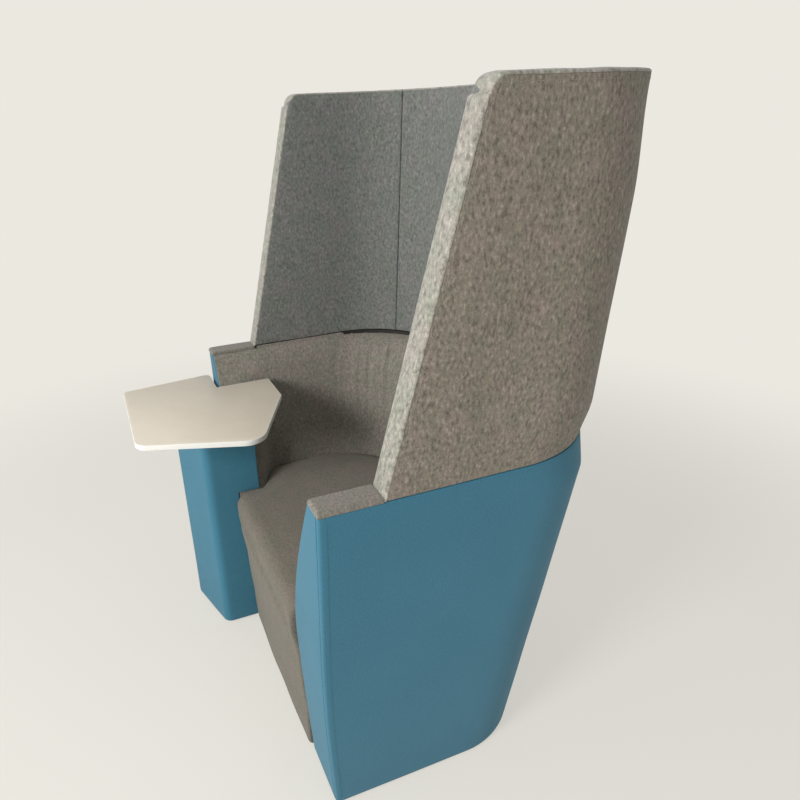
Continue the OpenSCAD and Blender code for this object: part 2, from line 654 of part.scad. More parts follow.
// The bolts follow the arm's outer face, and stay clear of the pedestal's wall
bolt_shares = [.176, .498, .82];
bolt_in = 41;
bolt_wall = 45;
function bolt_x(z) = -min(half_w(z) - bolt_in, ped_out - bolt_wall);
bolt_l = ped_back + ped_board_t + rib_front;
module at_bolts() for (s = bolt_shares)
    translate([bolt_x(s * ped_h), -ped_back - ped_board_t, s * ped_h]) rotate([-90, 0, 0]) children();
module pedestal_carcass() color(plywood) place() difference() {
    translate([0, 0, ped_board_z]) linear_extrude(ped_h - ped_top_t - seat_gap - ped_board_z) difference() {
        ped_round(ped_wall, -ped_back);
        ped_outline(ped_wall + ped_board_t, -ped_back - ped_board_t);
    }
    bolt_holes();
}
module bolt_holes() at_bolts() translate([0, 0, -cut])
    cylinder(h = bolt_l + 2 * cut, r = bolt_r + seat_gap, $fn = few);
bolt_head_h = 5;
module pedestal_bolts() color(steel) place() at_bolts() {
    translate([0, 0, -bolt_head_h - seat_gap]) cylinder(h = bolt_head_h, r = 2 * bolt_r, $fn = few);
    translate([0, 0, -seat_gap]) cylinder(h = bolt_l + seat_gap, r = bolt_r, $fn = few);
}
module pedestal_top() color(plywood) place() difference() {
    translate([0, 0, ped_h - ped_top_t]) linear_extrude(ped_top_t) ped_round(ped_wall, -ped_back);
    translate([-pivot_x, stop_at - pivot_y, ped_h - stop_below])
        cylinder(h = stop_below + cut, r = stop_r, $fn = 24);
    translate([-pivot_x, -pivot_y, ped_h - ped_top_t - cut])
        cylinder(h = ped_top_t + 2 * cut, r = spindle_r + bush_t + run_gap, $fn = 48);
}
module pedestal_cover() color(blue) place() {
    translate([0, 0, glide_h]) linear_extrude(ped_h - glide_h) difference() {
        ped_round(0, -ped_back);
        ped_round(ped_cover_t, -ped_back + cut);
    }
    translate([-ped_in - ped_cover_t, -ped_back - cut, ear_low])
        cube([ped_cover_t, ped_rear + ped_back + cut, ped_h - ear_low]);
}
cheek_shares = [0, .25, .5, .75, 1];
ear_rise = 85;
cheek_rise = 125;
ear_low = arm_mid_h + ear_rise;
cheek_low = arm_mid_h + cheek_rise;
cheek_rows = [for (s = cheek_shares) mix(cheek_low, ped_h, s)];
cheek_y = [-front_bow, facing_d, ped_rear];
module pedestal_cheek() color(blue) place() slab(
    [for (z = cheek_rows) [for (y = cheek_y) [-(half_w(z) - arm_t(z) - seat_clear), y, z]]],
    [for (z = cheek_rows) [for (y = cheek_y) [-ped_in - ped_cover_t - seat_gap, y, z]]]);

// The swivel
bush_l = 45;
plate_z = tablet_h - tablet_t - plate_t;
bush_flange_r = 15;
bush_flange_t = plate_z - ped_h - run_gap;
stop_r = 2.5;
stop_at = 19;
stop_below = 12;
collar_h = 8;
collar_r = 12;
spindle_l = 60;
plate_r = 26;
plate_l = 110;
screw_r = 2;
head_r = 4;
head_h = 2.5;
screw_l = 12;
screw_x = [42, 110];
screw_y = 14;
module at_pivot() place() translate([-pivot_x, -pivot_y, 0]) children();
module pivot_bush() color(nylon) at_pivot() difference() {
    union() {
        translate([0, 0, ped_h - bush_l]) cylinder(h = bush_l, r = spindle_r + bush_t, $fn = 48);
        translate([0, 0, ped_h]) cylinder(h = bush_flange_t, r = bush_flange_r, $fn = 48);
    }
    translate([0, 0, ped_h - bush_l - cut])
        cylinder(h = bush_l + bush_flange_t + 2 * cut, r = spindle_r + run_gap, $fn = 48);
}
module pivot_spindle() color(steel) at_pivot()
    translate([0, 0, plate_z - spindle_l]) cylinder(h = spindle_l, r = spindle_r, $fn = 48);
module spindle_collar() color(steel) at_pivot() difference() {
    translate([0, 0, ped_h - bush_l - seat_gap - collar_h]) cylinder(h = collar_h, r = collar_r, $fn = 48);
    translate([0, 0, ped_h - bush_l - seat_gap - collar_h - cut])
        cylinder(h = collar_h + 2 * cut, r = spindle_r + run_gap, $fn = 48);
}
module at_screws() for (x = screw_x) for (s = [-1, 1]) translate([x, s * screw_y, plate_z]) children();
module swivel_plate() color(steel) at_pivot() difference() {
    translate([0, 0, plate_z]) union() {
        cylinder(h = plate_t, r = plate_r, $fn = 64);
        translate([0, -plate_r, 0]) cube([plate_l, 2 * plate_r, plate_t]);
        translate([plate_l, 0, 0]) cylinder(h = plate_t, r = plate_r, $fn = 64);
    }
    at_screws() translate([0, 0, -cut]) cylinder(h = plate_t + 2 * cut, r = screw_r, $fn = few);
    at_screws() translate([0, 0, -cut]) cylinder(h = head_h + cut, r = head_r, $fn = few);
    // Quarter-turn slot that the stop pin stands in
    slot_r = stop_r + 2 * run_gap;
    translate([0, 0, plate_z - cut]) rotate([0, 0, 90]) rotate_extrude(angle = 90, $fn = 96)
        translate([stop_at - slot_r, 0]) square([2 * slot_r, plate_t + 2 * cut]);
    for (p = [[0, stop_at], [-stop_at, 0]]) translate([p[0], p[1], plate_z - cut])
        cylinder(h = plate_t + 2 * cut, r = slot_r, $fn = 48);
}
module stop_pin() color(steel) at_pivot() translate([0, stop_at, ped_h - stop_below])
    cylinder(h = plate_z + plate_t - seat_gap - ped_h + stop_below, r = stop_r, $fn = 24);
module tablet_screws() color(steel) at_pivot() at_screws() {
    cylinder(h = head_h - run_gap, r = head_r - run_gap, $fn = few);
    cylinder(h = screw_l, r = screw_r - run_gap, $fn = few);
}

// Outline of the tablet, cut round the left arm's front inner corner
arm_level = tablet_h - tablet_t;
arm_in = half_w(arm_level) - arm_t(arm_level);
notch_x = -arm_in + arm_gap;
notch_y = -front_bow - arm_gap;
side_x = -half_w(arm_level) - arm_gap / 2;
front_step = 28;
near_step = 62;
rear_step = 173;
front_r = 34;
near_r = 46;
front_x = side_x + front_step;
near_x = side_x + tablet_w - near_r;
near_y = -19;
near_front_x = near_x - near_step;
rear_x = near_x - rear_step;
module corner(x, y, r) translate([x, y]) circle(r = r, $fn = 64);
outer_r = 10;
small_r = 5;
notch_r = 14;
module tablet_outline(inset) {
    // The board, and then the corner of it that the arm stands in
    difference() {
        hull() {
            corner(front_x + outer_r, -tablet_front + outer_r, outer_r - inset);
            corner(near_front_x, -tablet_front + front_r, front_r - inset);
            corner(near_x, near_y, near_r - inset);
            corner(rear_x - small_r, tablet_rear - small_r, small_r - inset);
            corner(notch_x + small_r, tablet_rear - small_r, small_r - inset);
            corner(side_x + notch_r, notch_y - notch_r, notch_r - inset);
        }
        translate([side_x - cut - arm_gap, notch_y - inset])
            square([notch_x + inset - side_x + cut + arm_gap, tablet_rear - notch_y + 2 * cut + inset]);
    }
}
module tablet_top() color(cream) place() difference() {
    translate([0, 0, tablet_h - tablet_t]) linear_extrude(tablet_t) tablet_outline(edging_t);
    translate([-pivot_x, -pivot_y, 0]) at_screws()
        cylinder(h = screw_l + seat_gap, r = screw_r, $fn = few);
}
module tablet_edging() color("white") place() translate([0, 0, tablet_h - tablet_t])
    linear_extrude(tablet_t) difference() {
        tablet_outline(0);
        tablet_outline(edging_t);
    }

floor_board();
glides();
glide_nails();
outer_cover_left();
outer_cover_right();
side_panel_left();
side_panel_right();
back_panel();
arm_facing_left();
arm_facing_right();
arm_ribs_left();
arm_ribs_right();
back_ribs();
arm_cap_left();
arm_cap_right();
screen_rail();
inner_arm_pad_left();
inner_arm_pad_right();
lower_back_pad();
seat_frame();
seat_webbing();
front_board();
seat_front_panel();
seat_cushion();
joining_studs();
screen_board_left();
screen_board_right();
screen_board_back();
screen_outer_pad_left();
screen_outer_pad_right();
screen_inner_pad_left();
screen_inner_pad_right();
screen_inner_pad_back();
screen_front_band_left();
screen_front_band_right();
screen_top_band();
pedestal_base();
pedestal_carcass();
pedestal_bolts();
pedestal_top();
pedestal_cover();
pedestal_cheek();
pivot_bush();
pivot_spindle();
spindle_collar();
swivel_plate();
stop_pin();
tablet_screws();
tablet_top();
tablet_edging();
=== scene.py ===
"""Looks of a high-back pod armchair with a swivel tablet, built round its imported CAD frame.

Sizes in this file are millimetres in the chair's own layout, where Y is counted from the tub's front
line on the floor. Layout.place turns such a point into metres in the frame that the CAD model uses.
A share is a number from 0 to 1.
"""

import json
import logging
import math
from bisect import bisect_left
from dataclasses import dataclass
from enum import Enum
from typing import Callable, List, Optional, Sequence, Tuple, Union

import bmesh
import bpy
from mathutils import Matrix, Vector, noise


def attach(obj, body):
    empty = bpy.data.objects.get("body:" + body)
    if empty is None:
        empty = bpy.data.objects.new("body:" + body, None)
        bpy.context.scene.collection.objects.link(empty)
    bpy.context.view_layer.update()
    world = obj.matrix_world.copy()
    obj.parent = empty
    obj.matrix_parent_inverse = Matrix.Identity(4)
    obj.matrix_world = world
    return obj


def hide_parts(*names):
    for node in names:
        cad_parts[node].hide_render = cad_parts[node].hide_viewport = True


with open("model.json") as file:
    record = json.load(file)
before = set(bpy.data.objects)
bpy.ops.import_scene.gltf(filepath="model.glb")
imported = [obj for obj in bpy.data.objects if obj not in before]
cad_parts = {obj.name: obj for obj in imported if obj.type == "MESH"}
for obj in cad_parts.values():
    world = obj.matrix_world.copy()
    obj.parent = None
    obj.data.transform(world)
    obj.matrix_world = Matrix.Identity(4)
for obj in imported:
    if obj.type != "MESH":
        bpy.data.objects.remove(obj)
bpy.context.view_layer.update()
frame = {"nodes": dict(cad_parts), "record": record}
LOG = logging.getLogger("pod_chair")

MM = 0.001
QUARTER = math.pi / 2
# Half of the gap between the two halves of a face at the middle of the back, in millimetres
SEAM_X = 0.15
Point = Tuple[float, float, float]
Surface = Callable[[float, float], Vector]
Relief = Callable[[float, float], float]


class Side(Enum):
    """Which half of the chair a piece belongs to, by the sign of its X."""

    LEFT = -1
    RIGHT = 1

    @property
    def word(self) -> str:
        """The side's word in the names of nodes and pieces."""
        return self.name.lower()


class Body(Enum):
    """The CAD bodies that pieces ride on."""

    CHAIR = "chair"
    TABLET = "tablet"


def mix(a: float, b: float, t: float) -> float:
    """Value at share t of the way from a to b."""
    return a + (b - a) * t


def ease(t: float) -> float:
    """Smooth step of t, held between 0 and 1."""
    t = max(0.0, min(1.0, t))
    return t * t * (3 - 2 * t)


@dataclass(frozen=True)
class Layout:
    """Main sizes of the chair and the lines that follow from them, as in the CAD source."""

    total_h: float = 1400
    arm_h: float = 780
    floor_w: float = 784
    arm_w: float = 904
    top_w: float = 950
    floor_d: float = 512
    arm_d: float = 618
    top_d: float = 653
    corner_r: float = 195
    screen_corner_r: float = 243
    corner_rise: float = 68
    seam_z: float = 770.5
    front_bow: float = 20
    bow_share: float = 0.58
    arm_floor_t: float = 152
    arm_mid_t: float = 178
    arm_top_t: float = 52
    arm_mid_h: float = 375
    arm_bend: float = 2.5
    side_t: float = 85
    lumbar_t: float = 130
    high_back_t: float = 112
    back_top_t: float = 62
    shoulder_h: float = 100
    shoulder_gap: float = 8
    inner_r: float = 200
    flare_y: float = 38
    flare: float = 70
    facing_d: float = 12
    seat_h: float = 428
    crown: float = 16
    tablet_front: float = 262
    wing_low: float = 97
    wing_high: float = 250
    wing_r: float = 25
    screen_t: float = 50
    screen_r: float = 204
    glide_h: float = 6

    @property
    def mid_y(self) -> float:
        """Middle of the whole chair from front to back."""
        return (self.top_d - self.tablet_front) / 2

    def place(self, x: float, y: float, z: float) -> Vector:
        """A point of this layout, in metres in the CAD frame."""
        return Vector((x * MM, (y - self.mid_y) * MM, z * MM))

    def _up(self, z: float) -> float:
        """Share of the way up the screen."""
        return (z - self.arm_h) / (self.total_h - self.arm_h)

    def _taper(self, z: float, floor: float, arm: float, top: float) -> float:
        """A size at a height, by its values at the floor, the arm tops and the screen's top."""
        if z <= self.arm_h:
            return mix(floor, arm, z / self.arm_h)
        return mix(arm, top, self._up(z))

    def half_w(self, z: float) -> float:
        """Half width of the outer face at a height."""
        return self._taper(z, self.floor_w, self.arm_w, self.top_w) / 2

    def back_y(self, z: float) -> float:
        """Depth of the outer face at a height."""
        return self._taper(z, self.floor_d, self.arm_d, self.top_d)

    def corner_at(self, z: float) -> float:
        """Radius of the rear corners at a height: the tub's, which widens to the screen's."""
        share = (z - self.seam_z + self.corner_rise) / self.corner_rise
        return mix(self.corner_r, self.screen_corner_r, max(0.0, min(1.0, share)))

    def arm_t(self, z: float) -> float:
        """Thickness of an arm front at a height."""
        if z < self.arm_mid_h:
            share = (max(z, 0) / self.arm_mid_h) ** self.arm_bend
            return mix(self.arm_floor_t, self.arm_mid_t, share)
        share = min(1.0, (z - self.arm_mid_h) / (self.arm_h - self.arm_mid_h))
        return mix(self.arm_top_t, self.arm_mid_t, math.cos(QUARTER * share))

    def front_y(self, z: float) -> float:
        """Forward bow of the arm fronts at a height."""
        return -self.front_bow * math.sin(QUARTER * min(1.0, z / (self.bow_share * self.arm_h)))

    def shoulder(self, z: float) -> float:
        """Share of the lining's thickness left as it rounds off below the arm tops."""
        s = (z - (self.arm_h - self.shoulder_gap - self.shoulder_h)) / self.shoulder_h
        return 1.0 if s <= 0 else math.sqrt(max(0.0, 1 - s * s))

    def lining_side_t(self, z: float) -> float:
        """Thickness from the outer face to the lining, at the sides."""
        return mix(self.arm_top_t, self.side_t, self.shoulder(z))

    def lining_back_t(self, z: float) -> float:
        """Thickness from the outer face to the lining, at the back."""
        rise = max(0.0, (z - self.seat_h) / (self.arm_h - self.shoulder_h - self.seat_h))
        return mix(self.back_top_t, mix(self.lumbar_t, self.high_back_t, rise), self.shoulder(z))

    def rake_y(self, z: float) -> float:
        """Straight line of the wing's front edge."""
        return mix(self.wing_low, self.wing_high, self._up(z))


LAY = Layout()


def u_length(w: float, d: float, r: float, f: float) -> float:
    """Length of a U-shaped plan line from its front to the middle of its back."""
    return d - r - f + r * QUARTER + w - r


def u_point(w: float, d: float, r: float, f: float, share: float,
            wf: Optional[float] = None, lead: float = 0.0) -> Tuple[float, float]:
    """A point on a U-shaped plan line, from its left front round the back to its right front.

    Args:
        w: Half width of the line.
        d: Depth of its back.
        r: Radius of its rear corners.
        f: Depth at which its sides start.
        share: Share of the line's length, from the left front.
        wf: Half width at the front ends, where it differs.
        lead: Length before the front ends start to flare to the half width.

    Returns:
        The point's X and Y.
    """
    side_l, arc_l = d - r - f, r * QUARTER
    sign = -1.0 if share < 0.5 else 1.0
    run = (share if share < 0.5 else 1 - share) * 2 * u_length(w, d, r, f)
    if run <= side_l:
        at = w if wf is None else mix(wf, w, ease((run - lead) / LAY.flare))
        return sign * at, f + run
    if run <= side_l + arc_l:
        a = (run - side_l) / r
        return sign * (w - r + r * math.cos(a)), d - r + r * math.sin(a)
    return sign * (w - r - (run - side_l - arc_l)), d


def run_lengths(points: Sequence[Vector]) -> List[float]:
    """Length run along a line at each of its points."""
    runs = [0.0]
    for a, b in zip(points, points[1:]):
        runs.append(runs[-1] + (b - a).length)
    return runs


def find_run(runs: Sequence[float], run: float) -> Tuple[int, float]:
    """The stretch of a line in which a run ends, and the share of that stretch."""
    k = min(bisect_left(runs, run, 1) - 1, len(runs) - 2)
    return k, (run - runs[k]) / max(1e-9, runs[k + 1] - runs[k])


# ------------------------------------------------------------------ pads


@dataclass(frozen=True)
class Rims:
    """Radii to which the four borders of a pad's face roll down."""

    start: float = 6
    end: float = 6
    low: float = 6
    high: float = 6


def spaced(i: int, n: int, length: float, first: float, last: float, steps: int = 4) -> float:
    """Share of a border-to-border length at grid line i, with lines gathered in both rolled borders.

    Args:
        i: Number of the grid line.
        n: Number of the last grid line.
        length: The length from border to border.
        first: Radius of the roll at the start.
        last: Radius of the roll at the end.
        steps: Grid lines in each roll.

    Returns:
        The share of the length.
    """
    head, tail = (steps if first > 0 else 0), (steps if last > 0 else 0)
    if i < head:
        return first * (1 - math.cos(QUARTER * i / steps)) / length
    if i > n - tail:
        return 1 - last * (1 - math.cos(QUARTER * (n - i) / steps)) / length
    return mix(first / length, 1 - last / length, (i - head) / (n - head - tail))


def rolled(d: float, r: float) -> float:
    """How far a face has rolled down at a distance from a border, for a roll of radius r."""
    if d >= r or r <= 0:
        return 0.0
    return r - math.sqrt(max(0.0, r * r - (r - d) ** 2))


def normal_of(surface: Surface, u: float, v: float, steps: Sequence[float], move: float = 0.002,
              clear: float = 1e-6) -> Vector:
    """Unit normal of a surface by small moves, pointing to the side from which u runs right and v up.

    Args:
        surface: The surface.
        u: Share across.
        v: Share up.
        steps: Shares across at which the surface jumps, which no move crosses.
        move: How far each move goes.
        clear: How far a move stays from a jump.

    Returns:
        The normal.
    """
    first, last = max(0, u - move), min(1, u + move)
    for step in steps:
        if first < step < last:
            first, last = (first, step - clear) if u < step else (step + clear, last)
    du = surface(last, v) - surface(first, v)
    dv = surface(u, min(1, v + move)) - surface(u, max(0, v - move))
    return du.cross(dv).normalized()


def finish_mesh(bm: bmesh.types.BMesh, name: str, smooth_angle: float = 50) -> bpy.types.Object:
    """Writes a bmesh into a new object at the origin, shaded smooth up to an angle.

    Args:
        bm: The bmesh, in metres. It is freed.
        name: Name of the piece.
        smooth_angle: Greatest angle between faces that is shaded smooth, in degrees.

    Returns:
        The new object.
    """
    bmesh.ops.recalc_face_normals(bm, faces=bm.faces[:])
    limit = math.radians(smooth_angle)
    for e in bm.edges:
        e.smooth = len(e.link_faces) == 2 and e.calc_face_angle(0) < limit
    for f in bm.faces:
        f.smooth = True
    mesh = bpy.data.meshes.new(name)
    bm.to_mesh(mesh)
    bm.free()
    obj = bpy.data.objects.new(name, mesh)
    bpy.context.scene.collection.objects.link(obj)
    return obj


def dress(obj: bpy.types.Object, material: bpy.types.Material, stands_for: Sequence[str] = (),
          body: Body = Body.CHAIR) -> None:
    """Gives a piece its material, its body and the CAD nodes it stands for.

    Args:
        obj: The piece.
        material: Its material.
        stands_for: CAD nodes that it replaces.
        body: The CAD body that it rides on.
    """
    obj.data.materials.clear()
    obj.data.materials.append(material)
    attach(obj, body.value)
    if stands_for:
        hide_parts(*stands_for)
    LOG.info("piece %s: %d faces, body %s, stands for %s",
             obj.name, len(obj.data.polygons), body.value, list(stands_for))


@dataclass
class Pad:
    """A stuffed or covered panel: a face that rolls down at its borders, and a back behind it.

    The face is a surface of two shares, u to the right and v up as seen from outside. A pad whose surface runs
    the other way, u to the left, is turned. A pad of the whole chair's width has its own name, and one of each
    side has its name without the side's word.
    """

    name: str
    surface: Surface
    size: Tuple[float, float]
    grid: Tuple[int, int]
    thick: float
    rims: Rims
    crown: float = 0.0
    ripple: Optional[Relief] = None
    lean: Optional[Surface] = None
    steps: Sequence[float] = ()
    step_clear: float = 1.0
    step_half: float = 0.3
    turned: bool = False

    def columns(self) -> List[float]:
        """Shares of the grid lines across, with a close pair of lines on either side of each step."""
        wide, count = self.size[0], self.grid[0]
        shares = [spaced(i, count, wide, self.rims.start, self.rims.end) for i in range(count + 1)]
        near = self.step_half / wide
        for step in self.steps:
            shares = [s for s in shares if abs(s - step) * wide > self.step_clear] + [step - near, step + near]
        return sorted(shares)

    def normal(self, u: float, v: float) -> Vector:
        """Outward direction of the face."""
        return normal_of(self.surface, u, v, self.steps) * (-1 if self.turned else 1)

    def face_point(self, u: float, v: float) -> Vector:
        """Point of the padded face."""
        (du, dv), rims = self.size, self.rims
        drop = math.hypot(max(rolled(u * du, rims.start), rolled((1 - u) * du, rims.end)),
                          max(rolled(v * dv, rims.low), rolled((1 - v) * dv, rims.high)))
        drop = min(drop, max(rims.start, rims.end, rims.low, rims.high))
        puff = self.crown * (16 * u * (1 - u) * v * (1 - v)) ** 0.5
        if self.ripple:
            puff += self.ripple(u, v)
        return self.surface(u, v) + self.normal(u, v) * (puff - drop)

    def build(self, mirrored: bool = False) -> bpy.types.Object:
        """Makes the pad from a grid that is pulled on to the surface and extruded to its back.

        Args:
            mirrored: True for the same pad on the other side of the chair.

        Returns:
            The pad's object.
        """
        across = self.columns()
        nu, nv = len(across) - 1, self.grid[1]
        bm = bmesh.new()
        bmesh.ops.create_grid(bm, x_segments=nu, y_segments=nv, size=0.5)
        lu, lv = bm.verts.layers.float.new("u"), bm.verts.layers.float.new("v")
        for vert in bm.verts:
            i, j = round((vert.co.x + 0.5) * nu), round((vert.co.y + 0.5) * nv)
            vert[lu] = across[i]
            vert[lv] = spaced(j, nv, self.size[1], self.rims.low, self.rims.high)
        made = bmesh.ops.extrude_face_region(bm, geom=bm.faces[:], use_keep_orig=True)["geom"]
        behind = {g for g in made if isinstance(g, bmesh.types.BMVert)}
        for vert in bm.verts:
            u, v = vert[lu], vert[lv]
            if vert not in behind:
                at = self.face_point(u, v)
            elif self.lean:
                at = self.lean(u, v)
            else:
                at = self.surface(u, v) - self.normal(u, v) * self.thick
            vert.co = LAY.place(-at.x if mirrored else at.x, at.y, at.z)
        for layer in ("u", "v"):
            bm.verts.layers.float.remove(bm.verts.layers.float[layer])
        return finish_mesh(bm, self.name)


def upholster(pad: Pad, material: bpy.types.Material, nodes: Sequence[str],
              mirrored: bool = False) -> None:
    """Makes a pad as a padded piece.

    Args:
        pad: The pad.
        material: Its material.
        nodes: CAD nodes that it replaces.
        mirrored: True for the same pad on the other side of the chair.
    """
    obj = pad.build(mirrored)
    dress(obj, material, nodes)


def upholster_pair(pad: Pad, material: bpy.types.Material, node: str,
                   right_nodes: Sequence[str] = ()) -> None:
    """Makes a pad on both sides of the chair.

    Args:
        pad: The right side's pad. The side's word is added to its name.
        material: Its material.
        node: The CAD node that it replaces, without the side's word.
        right_nodes: Other nodes that the right side's piece replaces.
    """
    name = pad.name
    for side in Side:
        pad.name = f"{name}_{side.word}"
        nodes = [f"{node}_{side.word}", *(right_nodes if side is Side.RIGHT else ())]
        upholster(pad, material, nodes, mirrored=side is Side.LEFT)


@dataclass(frozen=True)
class Inflation:
    """A short cloth simulation that fills a cushion with foam under its cloth."""

    cell: float = 7
    pressure: float = 4
    mass: float = 0.3
    quality: int = 4
    cap: float = 4
    frames: int = 20

    def _voxels(self, obj: bpy.types.Object) -> bpy.types.Mesh:
        """An even mesh of the piece."""
        cells = obj.modifiers.new("cells", "REMESH")
        cells.mode, cells.voxel_size, cells.use_smooth_shade = "VOXEL", self.cell * MM, True
        mesh = bpy.data.meshes.new_from_object(obj.evaluated_get(bpy.context.evaluated_depsgraph_get()))
        obj.modifiers.remove(cells)
        return mesh

    def _blow(self, mesh: bpy.types.Mesh) -> List[Vector]:
        """Places of the mesh's points once the cloth has been blown up."""
        scene = bpy.context.scene
        cushion = bpy.data.objects.new("cushion_cloth", mesh)
        scene.collection.objects.link(cushion)
        cloth = cushion.modifiers.new("cloth", "CLOTH")
        settings = cloth.settings
        settings.quality, settings.mass = self.quality, self.mass
        settings.use_pressure, settings.uniform_pressure_force = True, self.pressure
        settings.effector_weights.gravity = 0
        cloth.point_cache.frame_start, cloth.point_cache.frame_end = 1, self.frames
        for step in range(1, self.frames + 1):
            scene.frame_set(step)
        moved = cushion.evaluated_get(bpy.context.evaluated_depsgraph_get()).to_mesh()
        blown = [v.co.copy() for v in moved.vertices]
        cushion.modifiers.remove(cloth)
        scene.frame_set(1)
        bpy.data.objects.remove(cushion)
        return blown

    def fill(self, obj: bpy.types.Object, share: Callable[[Vector], float]) -> None:
        """Inflates a piece in place.

        Args:
            obj: The piece.
            share: Share of the cap that a point may move, by its place in the CAD frame in metres.
        """
        name, mesh = obj.data.name, self._voxels(obj)
        furthest = 0.0
        for vert, after in zip(mesh.vertices, self._blow(mesh)):
            before = vert.co.copy()
            move = after - before
            limit = self.cap * MM * share(before)
            if move.length > limit:
                move = move.normalized() * limit
            furthest = max(furthest, move.length)
            vert.co = before + move
        LOG.info("cloth: %d points, furthest move %.1f mm", len(mesh.vertices), furthest / MM)
        obj.data, old = mesh, obj.data
        bpy.data.meshes.remove(old)
        mesh.name = name
        finer = obj.modifiers.new("finer", "SUBSURF")
        finer.levels = finer.render_levels = 1


# ------------------------------------------------------------------ finishes


def linear(r: float, g: float, b: float) -> Tuple[float, float, float]:
    """A colour given in 0 to 255 as a screen shows it, as linear light."""
    return tuple(((c / 255 + 0.055) / 1.055) ** 2.4 if c > 10 else c / 255 / 12.92 for c in (r, g, b))


def shade(colour: Sequence[float], share: float) -> Tuple[float, ...]:
    """A colour made darker or lighter by a share."""
    return tuple(min(1.0, c * share) for c in colour)


Socket = bpy.types.NodeSocket
Stops = Sequence[Tuple[float, float]]


class Nodes:
    """Short ways to add and join the nodes of a material or of the world."""

    def __init__(self, owner: Union[bpy.types.Material, bpy.types.World]) -> None:
        """Opens the owner's nodes, which start as one shader joined to an output."""
        owner.use_nodes = True
        self.owner, self.tree = owner, owner.node_tree
        self.surface = next(n for n in self.tree.nodes if "Output" in n.bl_idname).inputs["Surface"]
        self.shader = self.surface.links[0].from_node

    def add(self, kind: str, **values: object) -> bpy.types.Node:
        """Adds a node and sets its inputs, named with underscores for spaces, or else its properties."""
        node = self.tree.nodes.new(kind)
        for key, value in values.items():
            if key.replace("_", " ") in node.inputs:
                node.inputs[key.replace("_", " ")].default_value = value
            else:
                setattr(node, key, value)
        return node

    def join(self, out: Socket, into: Socket) -> None:
        """Links two sockets."""
        self.tree.links.new(out, into)

    def coords(self, scale: Point = (1, 1, 1), turn: Point = (0, 0, 0)) -> Socket:
        """Object coordinates, turned and stretched by a Mapping node."""
        mapping = self.add("ShaderNodeMapping", Scale=scale, Rotation=turn)
        self.join(self.add("ShaderNodeTexCoord").outputs["Object"], mapping.inputs["Vector"])
        return mapping.outputs["Vector"]

    def noise(self, at: Socket, scale: float, detail: float = 2, rough: float = 0.5) -> Socket:
        """A noise texture's value."""
        node = self.add("ShaderNodeTexNoise", Scale=scale, Detail=detail, Roughness=rough)
        self.join(at, node.inputs["Vector"])
        return node.outputs["Fac"]

    def ramp(self, value: Socket, stops: Sequence[Tuple[float, Sequence[float]]]) -> Socket:
        """A colour ramp with the given stops."""
        node = self.add("ShaderNodeValToRGB")
        band = node.color_ramp
        while len(band.elements) < len(stops):
            band.elements.new(0.5)
        for element, (at, colour) in zip(band.elements, stops):
            element.position = at
            element.color = (*colour, 1)
        self.join(value, node.inputs["Fac"])
        return node.outputs["Color"]

    def shades(self, value: Socket, base: Sequence[float], stops: Stops) -> Socket:
        """A ramp of darker and lighter shades of one colour."""
        return self.ramp(value, [(at, shade(base, share)) for at, share in stops])

    def blend(self, fac: float, a: Socket, b: Socket) -> Socket:
        """Colour b laid over colour a."""
        node = self.add("ShaderNodeMix", data_type="RGBA", blend_type="OVERLAY", Factor=fac)
        self.join(a, node.inputs["A"])
        self.join(b, node.inputs["B"])
        return [o for o in node.outputs if o.type == "RGBA"][0]

    def math(self, how: str, a: Socket, b: Union[Socket, float]) -> Socket:
        """A math node on a socket and a socket or number."""
        node = self.add("ShaderNodeMath", operation=how)
        self.join(a, node.inputs[0])
        if isinstance(b, (int, float)):
            node.inputs[1].default_value = b
        else:
            self.join(b, node.inputs[1])
        return node.outputs[0]

    def sum(self, a: Socket, a_share: float, b: Socket, b_share: float) -> Socket:
        """Shares of two values, added."""
        return self.math("ADD", self.math("MULTIPLY", a, a_share), self.math("MULTIPLY", b, b_share))

    def paint(self, colour: Socket) -> None:
        """Gives the shader its colour."""
        self.join(colour, self.shader.inputs["Base Color"])

    def roughen(self, value: Socket, low: float, high: float) -> None:
        """Spreads the shader's roughness over a range by a value."""
        span = self.add("ShaderNodeMapRange", To_Min=low, To_Max=high)
        self.join(value, span.inputs["Value"])
        self.join(span.outputs["Result"], self.shader.inputs["Roughness"])

    def bump(self, height: Socket, depth_mm: float, strength: float) -> None:
        """Bumps the shader's normal by a height of 0 to 1 times a depth."""
        node = self.add("ShaderNodeBump", Strength=strength, Distance=depth_mm * MM)
        self.join(height, node.inputs["Height"])
        self.join(node.outputs["Normal"], self.shader.inputs["Normal"])

    def set(self, **values: object) -> None:
        """Sets the shader's own sockets, by their names with underscores for spaces."""
        for key, value in values.items():
            self.shader.inputs[key.replace("_", " ")].default_value = value


@dataclass(frozen=True)
class Finish:
    """A procedural material, by its name and its colour as a screen shows it."""

    name: str
    colour: Tuple[float, float, float]

    def start(self) -> Tuple[Nodes, Tuple[float, float, float]]:
        """The nodes of a new material, and the colour as linear light."""
        return Nodes(bpy.data.materials.new(self.name)), linear(*self.colour)


